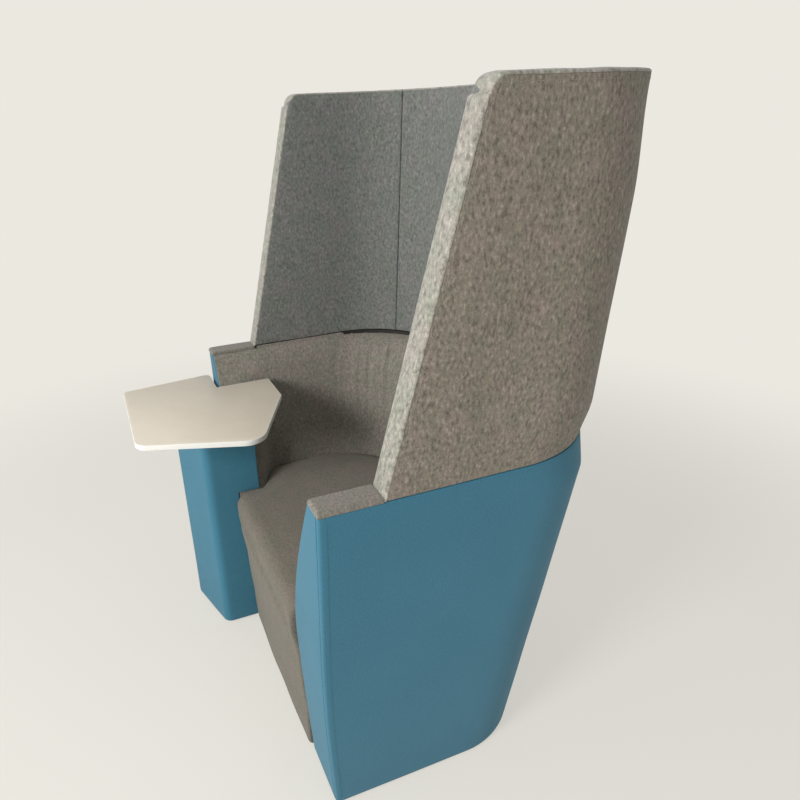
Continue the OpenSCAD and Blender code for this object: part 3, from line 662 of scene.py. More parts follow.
@dataclass(frozen=True)
class MelangeWool(Finish):
    """Felted wool spun from light and dark fibres, with flecks that run up the cloth."""

    fleck: float = 0.46
    fleck_scale: float = 150
    fibre_ratio: float = 5.5
    sheen: float = 0.2

    def build(self) -> bpy.types.Material:
        """The finish as a node material."""
        n, base = self.start()
        flecks = n.noise(n.coords(scale=(1.0, 1.0, 0.62)), self.fleck_scale, 4, 0.62)
        fibres = n.noise(n.coords(scale=(1.0, 1.0, 0.6), turn=(0.5, 0.3, 0.2)),
                         self.fleck_scale * self.fibre_ratio, 2, 0.6)
        clouds = n.noise(n.coords(), 22.0, 3, 0.6)
        tone = n.shades(flecks, base, [(0.34, 1 - self.fleck), (0.46, 0.92), (0.56, 1.06),
                                       (0.68, 1 + self.fleck * 1.15)])
        fine = n.shades(fibres, (1, 1, 1), [(0.32, 0.35), (0.68, 0.65)])
        worn = n.ramp(clouds, [(0.36, (0.462, 0.492, 0.452)), (0.5, (0.5, 0.5, 0.49)),
                               (0.64, (0.545, 0.508, 0.522))])
        n.paint(n.blend(0.8, n.blend(0.75, tone, fine), worn))
        n.bump(n.sum(fibres, 0.5, flecks, 0.6), 1.1, 0.7)
        n.set(Roughness=0.95, Specular_IOR_Level=0.15, Sheen_Weight=self.sheen, Sheen_Roughness=0.5)
        return n.owner


@dataclass(frozen=True)
class PlainWool(Finish):
    """Smooth woollen cloth of one dye, with a fine weave and faint unevenness."""

    weave: float = 1500
    sheen: float = 0.2

    def build(self) -> bpy.types.Material:
        """The finish as a node material."""
        n, base = self.start()
        at = n.coords()
        clouds = n.noise(at, 5.0, 4, 0.6)
        yarn = n.noise(n.coords(scale=(1, 1, 0.55)), self.weave * 0.45, 2, 0.55)
        worn = n.ramp(clouds, [(0.3, (0.462, 0.468, 0.474)), (0.7, (0.535, 0.53, 0.527))])
        n.paint(n.blend(0.6, n.shades(yarn, base, [(0.3, 0.86), (0.7, 1.15)]), worn))
        cells = n.add("ShaderNodeTexVoronoi", Scale=self.weave * 0.6)
        n.join(at, cells.inputs["Vector"])
        n.bump(n.sum(cells.outputs["Distance"], 0.5, yarn, 0.6), 0.35, 0.55)
        n.set(Roughness=0.88, Specular_IOR_Level=0.2, Sheen_Weight=self.sheen, Sheen_Roughness=0.45)
        return n.owner


@dataclass(frozen=True)
class Laminate(Finish):
    """Hard pressed laminate or edging: smooth, satin, with a faint mottle and fine handling marks."""

    roughness: float = 0.42

    def build(self) -> bpy.types.Material:
        """The finish as a node material."""
        n, base = self.start()
        at = n.coords()
        n.paint(n.shades(n.noise(at, 26, 4, 0.6), base, [(0.3, 0.975), (0.7, 1.02)]))
        marks = n.noise(n.coords(scale=(1, 5, 1), turn=(0, 0, 0.5)), 60, 5, 0.7)
        n.roughen(marks, self.roughness - 0.05, self.roughness + 0.08)
        n.bump(n.noise(at, 1400, 2), 0.04, 0.3)
        n.set(Specular_IOR_Level=0.45)
        return n.owner


@dataclass(frozen=True)
class Moulded(Finish):
    """Moulded nylon or woven band: dark, matte, finely grained. Its grain also serves wood and metal."""

    stretch: Point = (1, 1, 1)
    grain: Tuple[float, float, float] = (900, 3, 0.6)
    tones: Stops = ((0.3, 0.8), (0.7, 1.25))
    relief: Tuple[float, float] = (0.1, 0.5)
    roughness: float = 0.55
    rough_span: float = 0.0
    specular: float = 0.4
    metallic: float = 0.0

    def build(self) -> bpy.types.Material:
        """The finish as a node material."""
        n, base = self.start()
        grain = n.noise(n.coords(scale=self.stretch), *self.grain)
        n.paint(n.shades(grain, base, self.tones))
        n.bump(grain, *self.relief)
        n.set(Roughness=self.roughness, Specular_IOR_Level=self.specular, Metallic=self.metallic)
        if self.rough_span:
            n.roughen(grain, self.roughness, self.roughness + self.rough_span)
        return n.owner


@dataclass(frozen=True)
class Timber(Moulded):
    """Bare birch plywood, with grain along X and faint darker streaks."""

    stretch: Point = (1, 14, 14)
    grain: Tuple[float, float, float] = (9, 6, 0.65)
    tones: Stops = ((0.3, 0.72), (0.52, 1.0), (0.7, 1.14))
    relief: Tuple[float, float] = (0.3, 0.4)
    roughness: float = 0.62
    specular: float = 0.35


@dataclass(frozen=True)
class Zinc(Moulded):
    """Zinc-plated steel with a soft mottle and fine brushed marks."""

    stretch: Point = (1, 30, 30)
    grain: Tuple[float, float, float] = (40, 3, 0.6)
    tones: Stops = ((0.3, 0.85), (0.7, 1.1))
    relief: Tuple[float, float] = (0.02, 0.3)
    roughness: float = 0.28
    rough_span: float = 0.18
    specular: float = 0.5
    metallic: float = 1.0


class Palette:
    """All the finishes of the chair, made once."""

    def __init__(self) -> None:
        """Builds every finish."""
        self.blue = PlainWool("blue_wool", (63, 119, 142)).build()
        self.taupe = MelangeWool("taupe_wool", (137, 129, 118), fleck_scale=175).build()
        self.grey = MelangeWool("grey_wool", (120, 122, 119), fleck=0.34, fleck_scale=190).build()
        # Lighter than the screen's other cloths: the border's own cloth plus painted light, which stands in for
        # the light that falls on the wings' front faces
        self.border = MelangeWool("border_wool", (158, 155, 146), sheen=0.4).build()
        self.arm = MelangeWool("arm_wool", (134, 129, 121), fleck=0.3, fleck_scale=190).build()
        self.seat = MelangeWool("seat_wool", (114, 108, 98), fleck=0.24, fleck_scale=240).build()
        self.blue_thread = PlainWool("blue_thread", (66, 116, 138), weave=3000, sheen=0.1).build()
        self.grey_thread = PlainWool("grey_thread", (150, 146, 138), weave=3000, sheen=0.1).build()
        self.cream = Laminate("cream_laminate", (222, 211, 194)).build()
        self.white = Laminate("white_edging", (240, 238, 232), roughness=0.36).build()
        self.ply = Timber("birch_plywood", (203, 176, 138)).build()
        # Near-black plywood for the screen's boards: painted shade, which makes the shadow gap under the screen
        # read dark
        self.painted_shade_ply = Timber("painted_shade_plywood", (38, 36, 34)).build()
        self.nylon = Moulded("black_nylon", (38, 38, 40)).build()
        self.web = Moulded("black_webbing", (30, 30, 32), roughness=0.85).build()
        self.zinc = Zinc("zinc_plate", (196, 198, 202)).build()


# ------------------------------------------------------------------ stitching


@dataclass(frozen=True)
class Thread:
    """Thread stitches that lie in rows on a face."""

    length: float = 5.2
    gap: float = 1.6
    radius: float = 0.55
    flat: float = 1.15
    sink: float = 0.4

    def _stitch(self) -> Tuple[bpy.types.Mesh, int]:
        """The mesh of one stitch, a swelling bar along X, and the number of its points."""
        bm = bmesh.new()
        half, thin = self.length * MM / 2, self.radius * MM
        # The sphere's poles lie along the stitch
        lay = Matrix.Diagonal((half, thin * self.flat, thin, 1)) @ Matrix.Rotation(QUARTER, 4, "Y")
        made = bmesh.ops.create_uvsphere(bm, u_segments=6, v_segments=4, radius=1.0, matrix=lay)
        size = len(made["verts"])
        mesh = bpy.data.meshes.new("stitch")
        bm.to_mesh(mesh)
        bm.free()
        return mesh, size

    def add(self, bm: bmesh.types.BMesh, points: Sequence[Vector], ups: Sequence[Vector]) -> None:
        """Adds a row of stitches along a line.

        Args:
            bm: The bmesh that gathers the stitches, in metres.
            points: Points of the line, in metres.
            ups: The face's outward direction at each point.
        """
        runs = run_lengths(points)
        pitch = (self.length + self.gap) * MM
        count = int(runs[-1] / pitch)
        stitch, size = self._stitch()
        row = bmesh.new()
        for s in range(count):
            k, t = find_run(runs, (s + 0.5) * pitch + (runs[-1] - count * pitch) / 2)
            at = points[k].lerp(points[k + 1], t)
            along = (points[k + 1] - points[k]).normalized()
            across = along.cross(ups[k].lerp(ups[k + 1], t)).normalized()
            up = across.cross(along)
            turn = Matrix((along, across, up)).transposed().to_4x4()
            row.from_mesh(stitch)
            row.verts.ensure_lookup_table()
            place = Matrix.Translation(at + up * (self.radius - self.sink) * MM) @ turn
            bmesh.ops.transform(row, verts=row.verts[-size:], matrix=place)
        sewn = bpy.data.meshes.new("row")
        row.to_mesh(sewn)
        row.free()
        bm.from_mesh(sewn)
        for spare in (sewn, stitch):
            bpy.data.meshes.remove(spare)

    def sew(self, name: str, pad: Pad, paths: Sequence[Sequence[Tuple[float, float]]],
            material: bpy.types.Material) -> None:
        """Sews rows on a pad's face, and on its other side's, as one piece.

        Args:
            name: Name of the piece.
            pad: The right side's pad.
            paths: Each row's line, as pairs of shares of the pad's face.
            material: The thread's material.
        """
        bm = bmesh.new()
        for sign in (1, -1):
            for path in paths:
                points, ups = [], []
                for u, v in path:
                    up, at = pad.normal(u, v), pad.face_point(u, v)
                    points.append(LAY.place(sign * at.x, at.y, at.z))
                    ups.append(Vector((sign * up.x, up.y, up.z)))
                self.add(bm, points, ups)
        dress(finish_mesh(bm, name), material)


# ------------------------------------------------------------------ sub-assemblies


def soft_wave(at: Vector, scale: float, seed: float) -> float:
    """Smooth seeded unevenness between about -1 and 1, at a point of the layout."""
    x, y, z = at
    return noise.noise(Vector((x * scale + seed, y * scale - seed, z * scale + 2 * seed)))


@dataclass
class TubOutside:
    """The blue outside of the tub: two cover halves, the padded arm fronts and the pads on the arm tops."""

    palette: Palette
    wrap: float = 0.8
    cover_t: float = 9.6
    cover_w: float = 960
    cover_h: float = 764
    seam_gap: float = 0.3
    facing_over: float = 0.6
    facing_lap: float = 3.2
    lap_low: float = 290
    lap_rise: float = 12
    cap_t: float = 8.8
    cap_front: float = 0.4
    cap_rear: float = 0.8
    cap_over: float = 0.2
    cap_foot: float = 776
    row_inset: float = 14
    back_row: float = 8
    row_points: int = 150

    def _cover_surface(self, u: float, v: float) -> Vector:
        """Right half of the outer face, u from the middle of the back to the arm front."""
        z = mix(LAY.glide_h, LAY.seam_z, v)
        x, y = u_point(LAY.half_w(z), LAY.back_y(z), LAY.corner_at(z), LAY.front_y(z) + self.wrap, 0.5 + u / 2)
        return Vector((max(SEAM_X, x), y, z))

    def _cover_ripple(self, u: float, v: float) -> float:
        """Faint unevenness of foam under the outer cover."""
        return 0.7 * soft_wave(self._cover_surface(u, v), 0.006, 3.1)

    def _cover_pad(self) -> Pad:
        """The right half of the outer cover."""
        return Pad("tub_cover", self._cover_surface, (self.cover_w, self.cover_h), (120, 76), self.cover_t,
                   Rims(2, 5.5, 4, 2), ripple=self._cover_ripple, turned=True)

    def _facing_surface(self, u: float, v: float) -> Vector:
        """Right arm front, u from the lining's edge to the cover's edge."""
        z = mix(LAY.glide_h, LAY.seam_z + self.facing_over, v)
        w = LAY.half_w(z)
        inner = w - LAY.arm_t(z) + self.facing_lap * ease((z - self.lap_low) / self.lap_rise)
        return Vector((mix(inner, w - self.cover_t - self.seam_gap, u), LAY.front_y(z), z))

    def _facing_back(self, u: float, v: float) -> Vector:
        """Back of the arm front's pad."""
        at = self._facing_surface(u, v)
        return Vector((at.x, LAY.facing_d, at.z))

    def _facing_pad(self) -> Pad:
        """The right arm front's pad."""
        return Pad("arm_front", self._facing_surface, (130, 765), (34, 96), 20, Rims(7, 1.4, 5, 2),
                   crown=1.6, lean=self._facing_back)

    def _cap_surface(self, u: float, v: float) -> Vector:
        """Top of the right arm's pad, u from its inner edge to its outer edge, v from front to back."""
        x = mix(LAY.half_w(LAY.arm_h) - LAY.arm_top_t, LAY.half_w(self.cap_foot) + self.cap_over, u)
        y = mix(LAY.front_y(LAY.arm_h) - self.cap_front, LAY.wing_low - self.cap_rear, v)
        return Vector((x, y, LAY.arm_h))

    def _cap_pad(self) -> Pad:
        """The pad on the right arm's top."""
        return Pad("arm_top_pad", self._cap_surface, (52, 115), (26, 60), self.cap_t, Rims(1.2, 7, 7, 0.4),
                   crown=1.2)

    def build(self) -> None:
        """Makes the outside of the tub, sewn down the arm fronts' outer edges and the middle of the back."""
        cover = self._cover_pad()
        upholster_pair(cover, self.palette.blue, "outer_cover")
        upholster_pair(self._facing_pad(), self.palette.blue, "arm_facing")
        upholster_pair(self._cap_pad(), self.palette.arm, "arm_cap")
        rows = [i / self.row_points for i in range(2, self.row_points - 1)]
        columns = (1 - self.row_inset / self.cover_w, self.back_row / self.cover_w)
        Thread().sew("tub_stitching", cover, [[(u, v) for v in rows] for u in columns],
                     self.palette.blue_thread)


@dataclass
class TubInside:
    """The lining from arm to arm, and the seat with its front."""

    palette: Palette
    lining_w: float = 1690
    lining_low: float = 302
    lining_top: float = 779.6
    cap_low: float = 771.8
    step_gap: float = 7
    wrap: float = 2.5
    wrap_t: float = 4.0
    lining_t: float = 25.5
    thick_y: float = 12.5
    thick_run: float = 8
    rail_low: float = 768
    rail_gap: float = 0.4
    rail_arm_gap: float = 2
    back_r: float = 214
    top_fade: float = 0.1
    broad_depth: float = 2.2
    broad_w: float = 150
    crease_depth: float = 6.5
    crease_at: float = 0.14
    crease_reach: float = 0.12
    crease_rest: float = 0.08
    seat_gap: float = 1.5
    seat_low: float = 7
    nose_foot: float = 11
    nose_out: float = 31
    nose_top: float = 334.3
    nose_r: float = 34
    seat_drop: float = 26
    rear_drop: float = 20
    swell_low: float = 340
    swell: float = 1.1
    top_play: float = 0.01
    least_freedom: float = 0.05
    recess_low: float = 290
    recess_rise: float = 95
    skin_share: float = 0.985
    under_gap: float = 0.6
    under_z: float = 332
    web_z: float = 336
    web_y: float = 30
    free_run: float = 60

    def _cap_end(self) -> float:
        """Share of the lining's width at which it steps up behind the right arm top's pad."""
        z = self.lining_top
        front = LAY.front_y(z) + self.wrap
        half = u_length(LAY.half_w(z) - LAY.lining_side_t(z), LAY.back_y(z) - LAY.lining_back_t(z),
                        LAY.inner_r, front)
        return (LAY.wing_low + self.step_gap - front) / half / 2

    def _lining_z(self, u: float, v: float) -> float:
        """Height on the lining, which ends lower below the pads on the arm tops."""
        step = self._cap_end()
        return mix(self.lining_low, self.lining_top if step < u < 1 - step else self.cap_low, v)

    def _plan(self, u: float, z: float, side: float, back: float, arm: float, r: float) -> Vector:
        """A point of a plan line inside the tub, from the right arm round the back to the left arm.

        Args:
            u: Share of the line.
            z: Its height.
            side: How far its sides lie inside the outer face.
            back: How far its back lies inside the outer face.
            arm: How far its front ends lie inside the outer face.
            r: Radius of its rear corners.

        Returns:
            The point.
        """
        w, front = LAY.half_w(z), LAY.front_y(z) + self.wrap
        x, y = u_point(w - side, LAY.back_y(z) - back, r, front, 1 - u, wf=w - arm, lead=LAY.flare_y - front)
        return Vector((x, y, z))

    def _lining_surface(self, u: float, v: float) -> Vector:
        """Inner face of the lining, u from the right arm round the back to the left arm."""
        z = self._lining_z(u, v)
        return self._plan(u, z, LAY.lining_side_t(z), LAY.lining_back_t(z), LAY.arm_t(z), LAY.inner_r)

    def _lining_back(self, u: float, v: float) -> Vector:
        """Back of the lining: thin where it wraps the arm front, and inside the rail at its top."""
        z = self._lining_z(u, v)
        share = ease((self._lining_surface(u, v).y - self.thick_y) / self.thick_run)
        off = mix(self.wrap_t, self.lining_t, share)
        side, back, arm = LAY.lining_side_t(z) - off, LAY.lining_back_t(z) - off, LAY.arm_t(z) - off
        if z > self.rail_low:
            side, back = LAY.screen_t + self.rail_gap, LAY.back_top_t + self.rail_gap
            arm = LAY.arm_t(z) - self.rail_arm_gap
        return self._plan(u, z, side, back, arm, self.back_r)

    def _lining_ripple(self, u: float, v: float) -> float:
        """Soft upright creases of the lower back, deepest in its upper half and beside its middle."""
        across, top = u * self.lining_w, ease((1 - v) / self.top_fade)
        depth = ease((v - 0.3) / 0.35) * top
        reach = math.exp(-((abs(u - 0.5) - self.crease_at) / self.crease_reach) ** 2)
        drift = 9 * math.sin(v * 4.0 + u * 9)
        creases = 0.0
        for wide, size, seed in ((36.0, 1.0, 1.7), (19.0, 0.7, 5.2), (12.0, 0.4, 8.8)):
            fold = abs(noise.noise(Vector(((across + drift) / wide, v * 1.3, seed))))
            creases += size * (0.35 - 1.6 * fold)
        broad = self.broad_depth * noise.noise(Vector((across / self.broad_w, v * 2.4, 0.4))) * top
        broad *= ease(u / 0.05) * ease((1 - u) / 0.05)
        return broad + self.crease_depth * creases * depth * mix(self.crease_rest, 1, reach)

    def build_lining(self) -> None:
        """Makes the lining as one sewn pad."""
        step = self._cap_end()
        pad = Pad("tub_lining", self._lining_surface, (self.lining_w, 478), (310, 90), self.lining_t,
                  Rims(2, 2, 3, 1.6), ripple=self._lining_ripple, lean=self._lining_back,
                  steps=(step, 1 - step), turned=True)
        upholster(pad, self.palette.arm,
                  ["inner_arm_pad_left", "inner_arm_pad_right", "lower_back_pad"])

    def _seat_back_y(self, z: float) -> float:
        """Depth of the seat's rear edge at a height."""
        return LAY.back_y(z) - LAY.lining_back_t(z) - self.seat_gap

    def _seat_half(self, z: float, y: float) -> float:
        """Half width of the seat at a height and a depth, inside the lining."""
        lining = mix(LAY.arm_t(z), LAY.lining_side_t(z), ease((y - LAY.flare_y) / LAY.flare))
        side, r = LAY.half_w(z) - lining - self.seat_gap, LAY.inner_r
        d = y - self._seat_back_y(z) + r
        return side - (0 if d <= 0 else r - math.sqrt(max(0.0, r ** 2 - d * d)))

    def _seat_section(self, run: float) -> Tuple[float, float]:
        """Depth and height of the seat's middle line, by the length run from the floor.

        The line climbs the front, turns over a round nose, and goes back along the seat.
        """
        nose_z, r = LAY.seat_h - self.nose_r, self.nose_r
        rise, arc = nose_z - self.seat_low, r * QUARTER
        if run <= rise:
            z = self.seat_low + run
            return -mix(self.nose_foot, self.nose_out, min(z, self.nose_top) / self.nose_top), z
        if run <= rise + arc:
            a = (run - rise) / r
            return -self.nose_out + r * (1 - math.cos(a)), nose_z + r * math.sin(a)
        return -self.nose_out + r + run - rise - arc, LAY.seat_h

    def _seat_surface(self, u: float, v: float) -> Vector:
        """The seat's skin, u from left to right, v from the floor over the nose to the back."""
        back = self._seat_back_y(LAY.seat_h - self.rear_drop)
        rise = LAY.seat_h - self.nose_r - self.seat_low
        y, z = self._seat_section(v * (rise + self.nose_r * QUARTER + back + self.nose_out - self.nose_r))
        y = min(y, back)
        half = max(2.0, self._seat_half(min(z, LAY.seat_h - self.seat_drop), y))
        along = (y + self.nose_out) / (back + self.nose_out)
        edge = mix(0.08, 0.27, ease((along - 0.1) / 0.4))
        lift = self.swell * LAY.crown * math.sin(math.pi * mix(edge, 1 - edge, u))
        lift *= math.sin(math.pi * (0.1 + 0.62 * along))
        if z < LAY.seat_h - self.top_play:
            lift *= ease((z - self.swell_low) / (LAY.seat_h - self.swell_low))
        # The front falls back to the arm fronts at both sides, most below its middle
        fade = 1 - ease((z - self.recess_low) / self.recess_rise)
        recess = mix(3, 8, ease(z / 150)) * fade * (2 * u - 1) ** 2
        return Vector(((2 * u - 1) * half, y + recess, z + lift))

    def _seat_under(self, u: float, v: float) -> Vector:
        """Inside of the seat's skin: behind its front, and flat on the webbing below its top."""
        at = self._seat_surface(u, v)
        x, front_y = at.x * self.skin_share, LAY.facing_d - self.under_gap
        if at.z < self.under_z:
            return Vector((x, front_y, at.z))
        if at.y < LAY.facing_d:
            share = (at.z - self.under_z) / (LAY.seat_h + LAY.crown - self.under_z)
            return Vector((x, mix(front_y, self.web_y, ease(share)), mix(self.under_z, self.web_z, share)))
        return Vector((x, max(at.y, self.web_y), self.web_z + 0.5))

    def _seat_ripple(self, u: float, v: float) -> float:
        """Faint hollows where people have sat."""
        return 1.6 * soft_wave(self._seat_surface(u, v), 0.009, 7.7)

    def _seat_freedom(self, at: Vector) -> float:
        """How freely the seat's cloth may swell: on its top and front, and little beside its neighbours."""
        x, y, z = at.x / MM, at.y / MM + LAY.mid_y, at.z / MM
        half = self._seat_half(min(z, LAY.seat_h - self.seat_drop), max(y, 0))
        side = ease((half - abs(x)) / self.free_run)
        rear = ease((self._seat_back_y(z) - y) / self.free_run)
        front = ease((LAY.facing_d - y) / 30) * ease((z - 30) / self.free_run)
        share = (1 - self.least_freedom) * side * rear * max(front, ease((z - 400) / 20))
        return self.least_freedom + share

    def build_seat(self) -> None:
        """Makes the seat and its front as one crowned, upholstered form."""
        pad = Pad("seat", self._seat_surface, (560, 905), (64, 130), 60, Rims(7, 7, 4, 6),
                  ripple=self._seat_ripple, lean=self._seat_under)
        obj = pad.build()
        Inflation().fill(obj, self._seat_freedom)
        dress(obj, self.palette.seat, ["seat_cushion", "seat_front_panel"])

    def build(self) -> None:
        """Makes the lining and the seat."""
        self.build_lining()
        self.build_seat()


@dataclass
class Screen:
    """The tall grey screen: outer and inner pads, and the border that is sewn round its edge."""

    palette: Palette
    border: float = 6
    inner_border: float = 3.2
    wrap_r: float = 5
    inner_r: float = 3
    skin: float = 3.5
    hollow: float = 0.9
    outer_t: float = 5.6
    inner_t: float = 19
    outer_w: float = 930
    outer_h: float = 622
    outer_low: float = 771.4
    outer_gap: float = 0.3
    fill: float = 11
    side_fill: float = 0.35
    inner_low: float = 780.3
    inner_h: float = 613
    row_inset: float = 8
    top_row_h: float = 615
    row_points: int = 120

    def _front(self, z: float, inside: float) -> float:
        """Depth of the screen's front edge, moved back by a distance, with its rounded top corner."""
        r = LAY.wing_r
        d, reach = z - (LAY.total_h - r), r - inside
        if d <= 0:
            return LAY.rake_y(z) + inside
        return LAY.rake_y(z) + r - math.sqrt(max(0.0, reach * reach - d * d))

    def _outer_surface(self, u: float, v: float) -> Vector:
        """Right half of the outer face, u from the middle of the back to the front border."""
        z = mix(self.outer_low, LAY.total_h - self.border, v)
        x, y = u_point(LAY.half_w(z) - self.outer_gap, LAY.back_y(z) - self.outer_gap, LAY.screen_corner_r,
                       self._front(z, self.border), 0.5 + u / 2)
        return Vector((max(SEAM_X, x), y, z))

    def _seam_share(self, z: float) -> float:
        """Share of the inner line at which the corner seam lies, in the middle of the rear corner."""
        side = LAY.back_y(z) - LAY.back_top_t - LAY.screen_r - self._front(z, self.inner_border)
        arc = LAY.screen_r * QUARTER
        back = LAY.half_w(z) - LAY.screen_t - LAY.screen_r
        return (side + arc / 2) / (side + arc + back) / 2

    def _panel_point(self, u: float, v: float, first: int) -> Vector:
        """A point of an inner panel, which starts at stop 0, the right front, or 1, the right seam."""
        z = mix(self.inner_low, LAY.total_h - self.inner_border, v)
        seam = self._seam_share(z)
        stops = (0.0, seam, 1 - seam)
        x, y = u_point(LAY.half_w(z) - LAY.screen_t, LAY.back_y(z) - LAY.back_top_t, LAY.screen_r,
                       self._front(z, self.inner_border), 1 - mix(stops[first], stops[first + 1], u))
        return Vector((x, y, z))

    def _ripple(self, u: float, v: float, seed: float) -> float:
        """Faint unevenness of the screen's foam."""
        return noise.noise(Vector((u * 4 + seed, v * 4, seed)))

    def _outer_fill(self, u: float, v: float) -> float:
        """Fullness of the outer pads, most round the rear corners, and none at their seams."""
        seams = ease(u / 0.12) * ease((1 - u) / 0.08) * ease(v / 0.12) * ease((1 - v) / 0.3)
        return self.fill * seams * mix(self.side_fill, 1, ease((0.8 - u) / 0.2)) + self._ripple(u, v, 2.0)

    def _outer_pad(self) -> Pad:
        """The right half of the outer pads."""
        return Pad("screen_outside", self._outer_surface, (self.outer_w, self.outer_h), (110, 64), self.outer_t,
                   Rims(2, 1.8, 3.5, 1.4), ripple=self._outer_fill, turned=True)

    def _panel_pad(self, first: int, name: str, wide: float, lines: int, rims: Rims, crown: float,
                   seed: float) -> Pad:
        """An inner panel's pad, from the right front or from the right seam."""
        return Pad(name, lambda u, v: self._panel_point(u, v, first), (wide, self.inner_h), (lines, 60),
                   self.inner_t, rims, crown, lambda u, v: self._ripple(u, v, seed), turned=True)

    def build_pads(self) -> None:
        """Makes the outer halves and the three inner panels."""
        grey = self.palette.grey
        upholster_pair(self._outer_pad(), self.palette.taupe, "screen_outer_pad")
        arm = self._panel_pad(0, "screen_inside", 440, 56, Rims(0.8, 5, 4, 0.8), 2.5, 5.0)
        upholster_pair(arm, grey, "screen_inner_pad")
        back = self._panel_pad(1, "screen_inside_back", 690, 84, Rims(5, 5, 4, 0.8), 3.0, 9.0)
        upholster(back, grey, ["screen_inner_pad_back"])

    def _edge_lengths(self) -> Tuple[float, float, float]:
        """Lengths of the edge up the wing, round its top corner, and along the top to the middle of the back."""
        r = LAY.wing_r
        top = u_length(LAY.half_w(LAY.total_h) - LAY.screen_t / 2, LAY.back_y(LAY.total_h) - 30,
                       LAY.screen_corner_r, LAY.rake_y(LAY.total_h) + r)
        return LAY.total_h - r - self.outer_low, r * QUARTER, top

    def _border_surface(self, u: float, v: float) -> Vector:
        """The border's skin on the right side, u across from inside to outside, v along from the foot."""
        climb, arc, top = self._edge_lengths()
        run, r = v * (climb + arc + top), LAY.wing_r
        across, inside = self._border_section(u)
        if run <= climb + arc:
            y, z = LAY.rake_y(self.outer_low + run) + inside, self.outer_low + run
            if run > climb:
                a, reach = (run - climb) / r, r - inside
                y = LAY.rake_y(LAY.total_h) + r - reach * math.cos(a)
                z = LAY.total_h - r + reach * math.sin(a)
            w = LAY.half_w(z)
            return Vector((mix(w - LAY.screen_t, w - self.outer_gap, across), y, z))
        share = 1 - (run - climb - arc) / top / 2
        w, d, f = LAY.half_w(LAY.total_h), LAY.back_y(LAY.total_h), LAY.rake_y(LAY.total_h) + r
        xo, yo = u_point(w - self.outer_gap, d - self.outer_gap, LAY.screen_corner_r, f, share)
        xi, yi = u_point(w - LAY.screen_t, d - LAY.back_top_t, LAY.screen_r, f, share)
        return Vector((max(SEAM_X, mix(xi, xo, across)), mix(yi, yo, across), LAY.total_h - inside))

    def _border_section(self, u: float) -> Tuple[float, float]:
        """Share across the screen's thickness and depth below its edge, by share of the border's width."""
        wide = LAY.screen_t
        flat = wide - self.inner_r - self.wrap_r
        inner_leg, outer_leg = self.inner_border - self.inner_r, self.border - self.wrap_r
        total = inner_leg + self.inner_r * QUARTER + flat + self.wrap_r * QUARTER + outer_leg
        run = u * total
        for leg, r, depth, left in ((inner_leg, self.inner_r, self.inner_border, run),
                                    (outer_leg, self.wrap_r, self.border, total - run)):
            if left > leg + r * QUARTER:
                continue
            a = max(0.0, (left - leg) / r)
            across = r * (1 - math.cos(a)) / wide
            inside = depth - left if left <= leg else r * (1 - math.sin(a))
            return (across if left is run else 1 - across), inside
        x = run - inner_leg - self.inner_r * QUARTER
        return (self.inner_r + x) / wide, -self.hollow * math.sin(math.pi * x / flat)

    def _border_ripple(self, u: float, v: float) -> float:
        """Soft waves of the cloth that is pulled over the edge."""
        return 1.1 * noise.noise(Vector((u * 2.5, v * 26, 6.1))) * math.sin(math.pi * u)

    def build_border(self) -> None:
        """Makes the border that is sewn round the wings and over the top, a half on each side."""
        pad = Pad("screen_border", self._border_surface, (58, 1350), (30, 280), self.skin,
                  Rims(0.6, 1.2, 1.2, 1.5), ripple=self._border_ripple)
        upholster_pair(pad, self.palette.border, "screen_front_band", ["screen_top_band"])

    def build_stitching(self) -> None:
        """Sews a row beside the border's seam, one beside the top's, and down the middle of the back."""
        rows = [i / self.row_points for i in range(1, self.row_points)]
        inset = self.row_inset / self.outer_w
        paths = [[(1 - inset, v) for v in rows], [(inset, v) for v in rows],
                 [(1 - u, 1 - self.row_inset / self.top_row_h) for u in rows]]
        Thread().sew("screen_stitching", self._outer_pad(), paths, self.palette.grey_thread)

    def build(self) -> None:
        """Makes the whole screen."""
        self.build_pads()
        self.build_border()
        self.build_stitching()


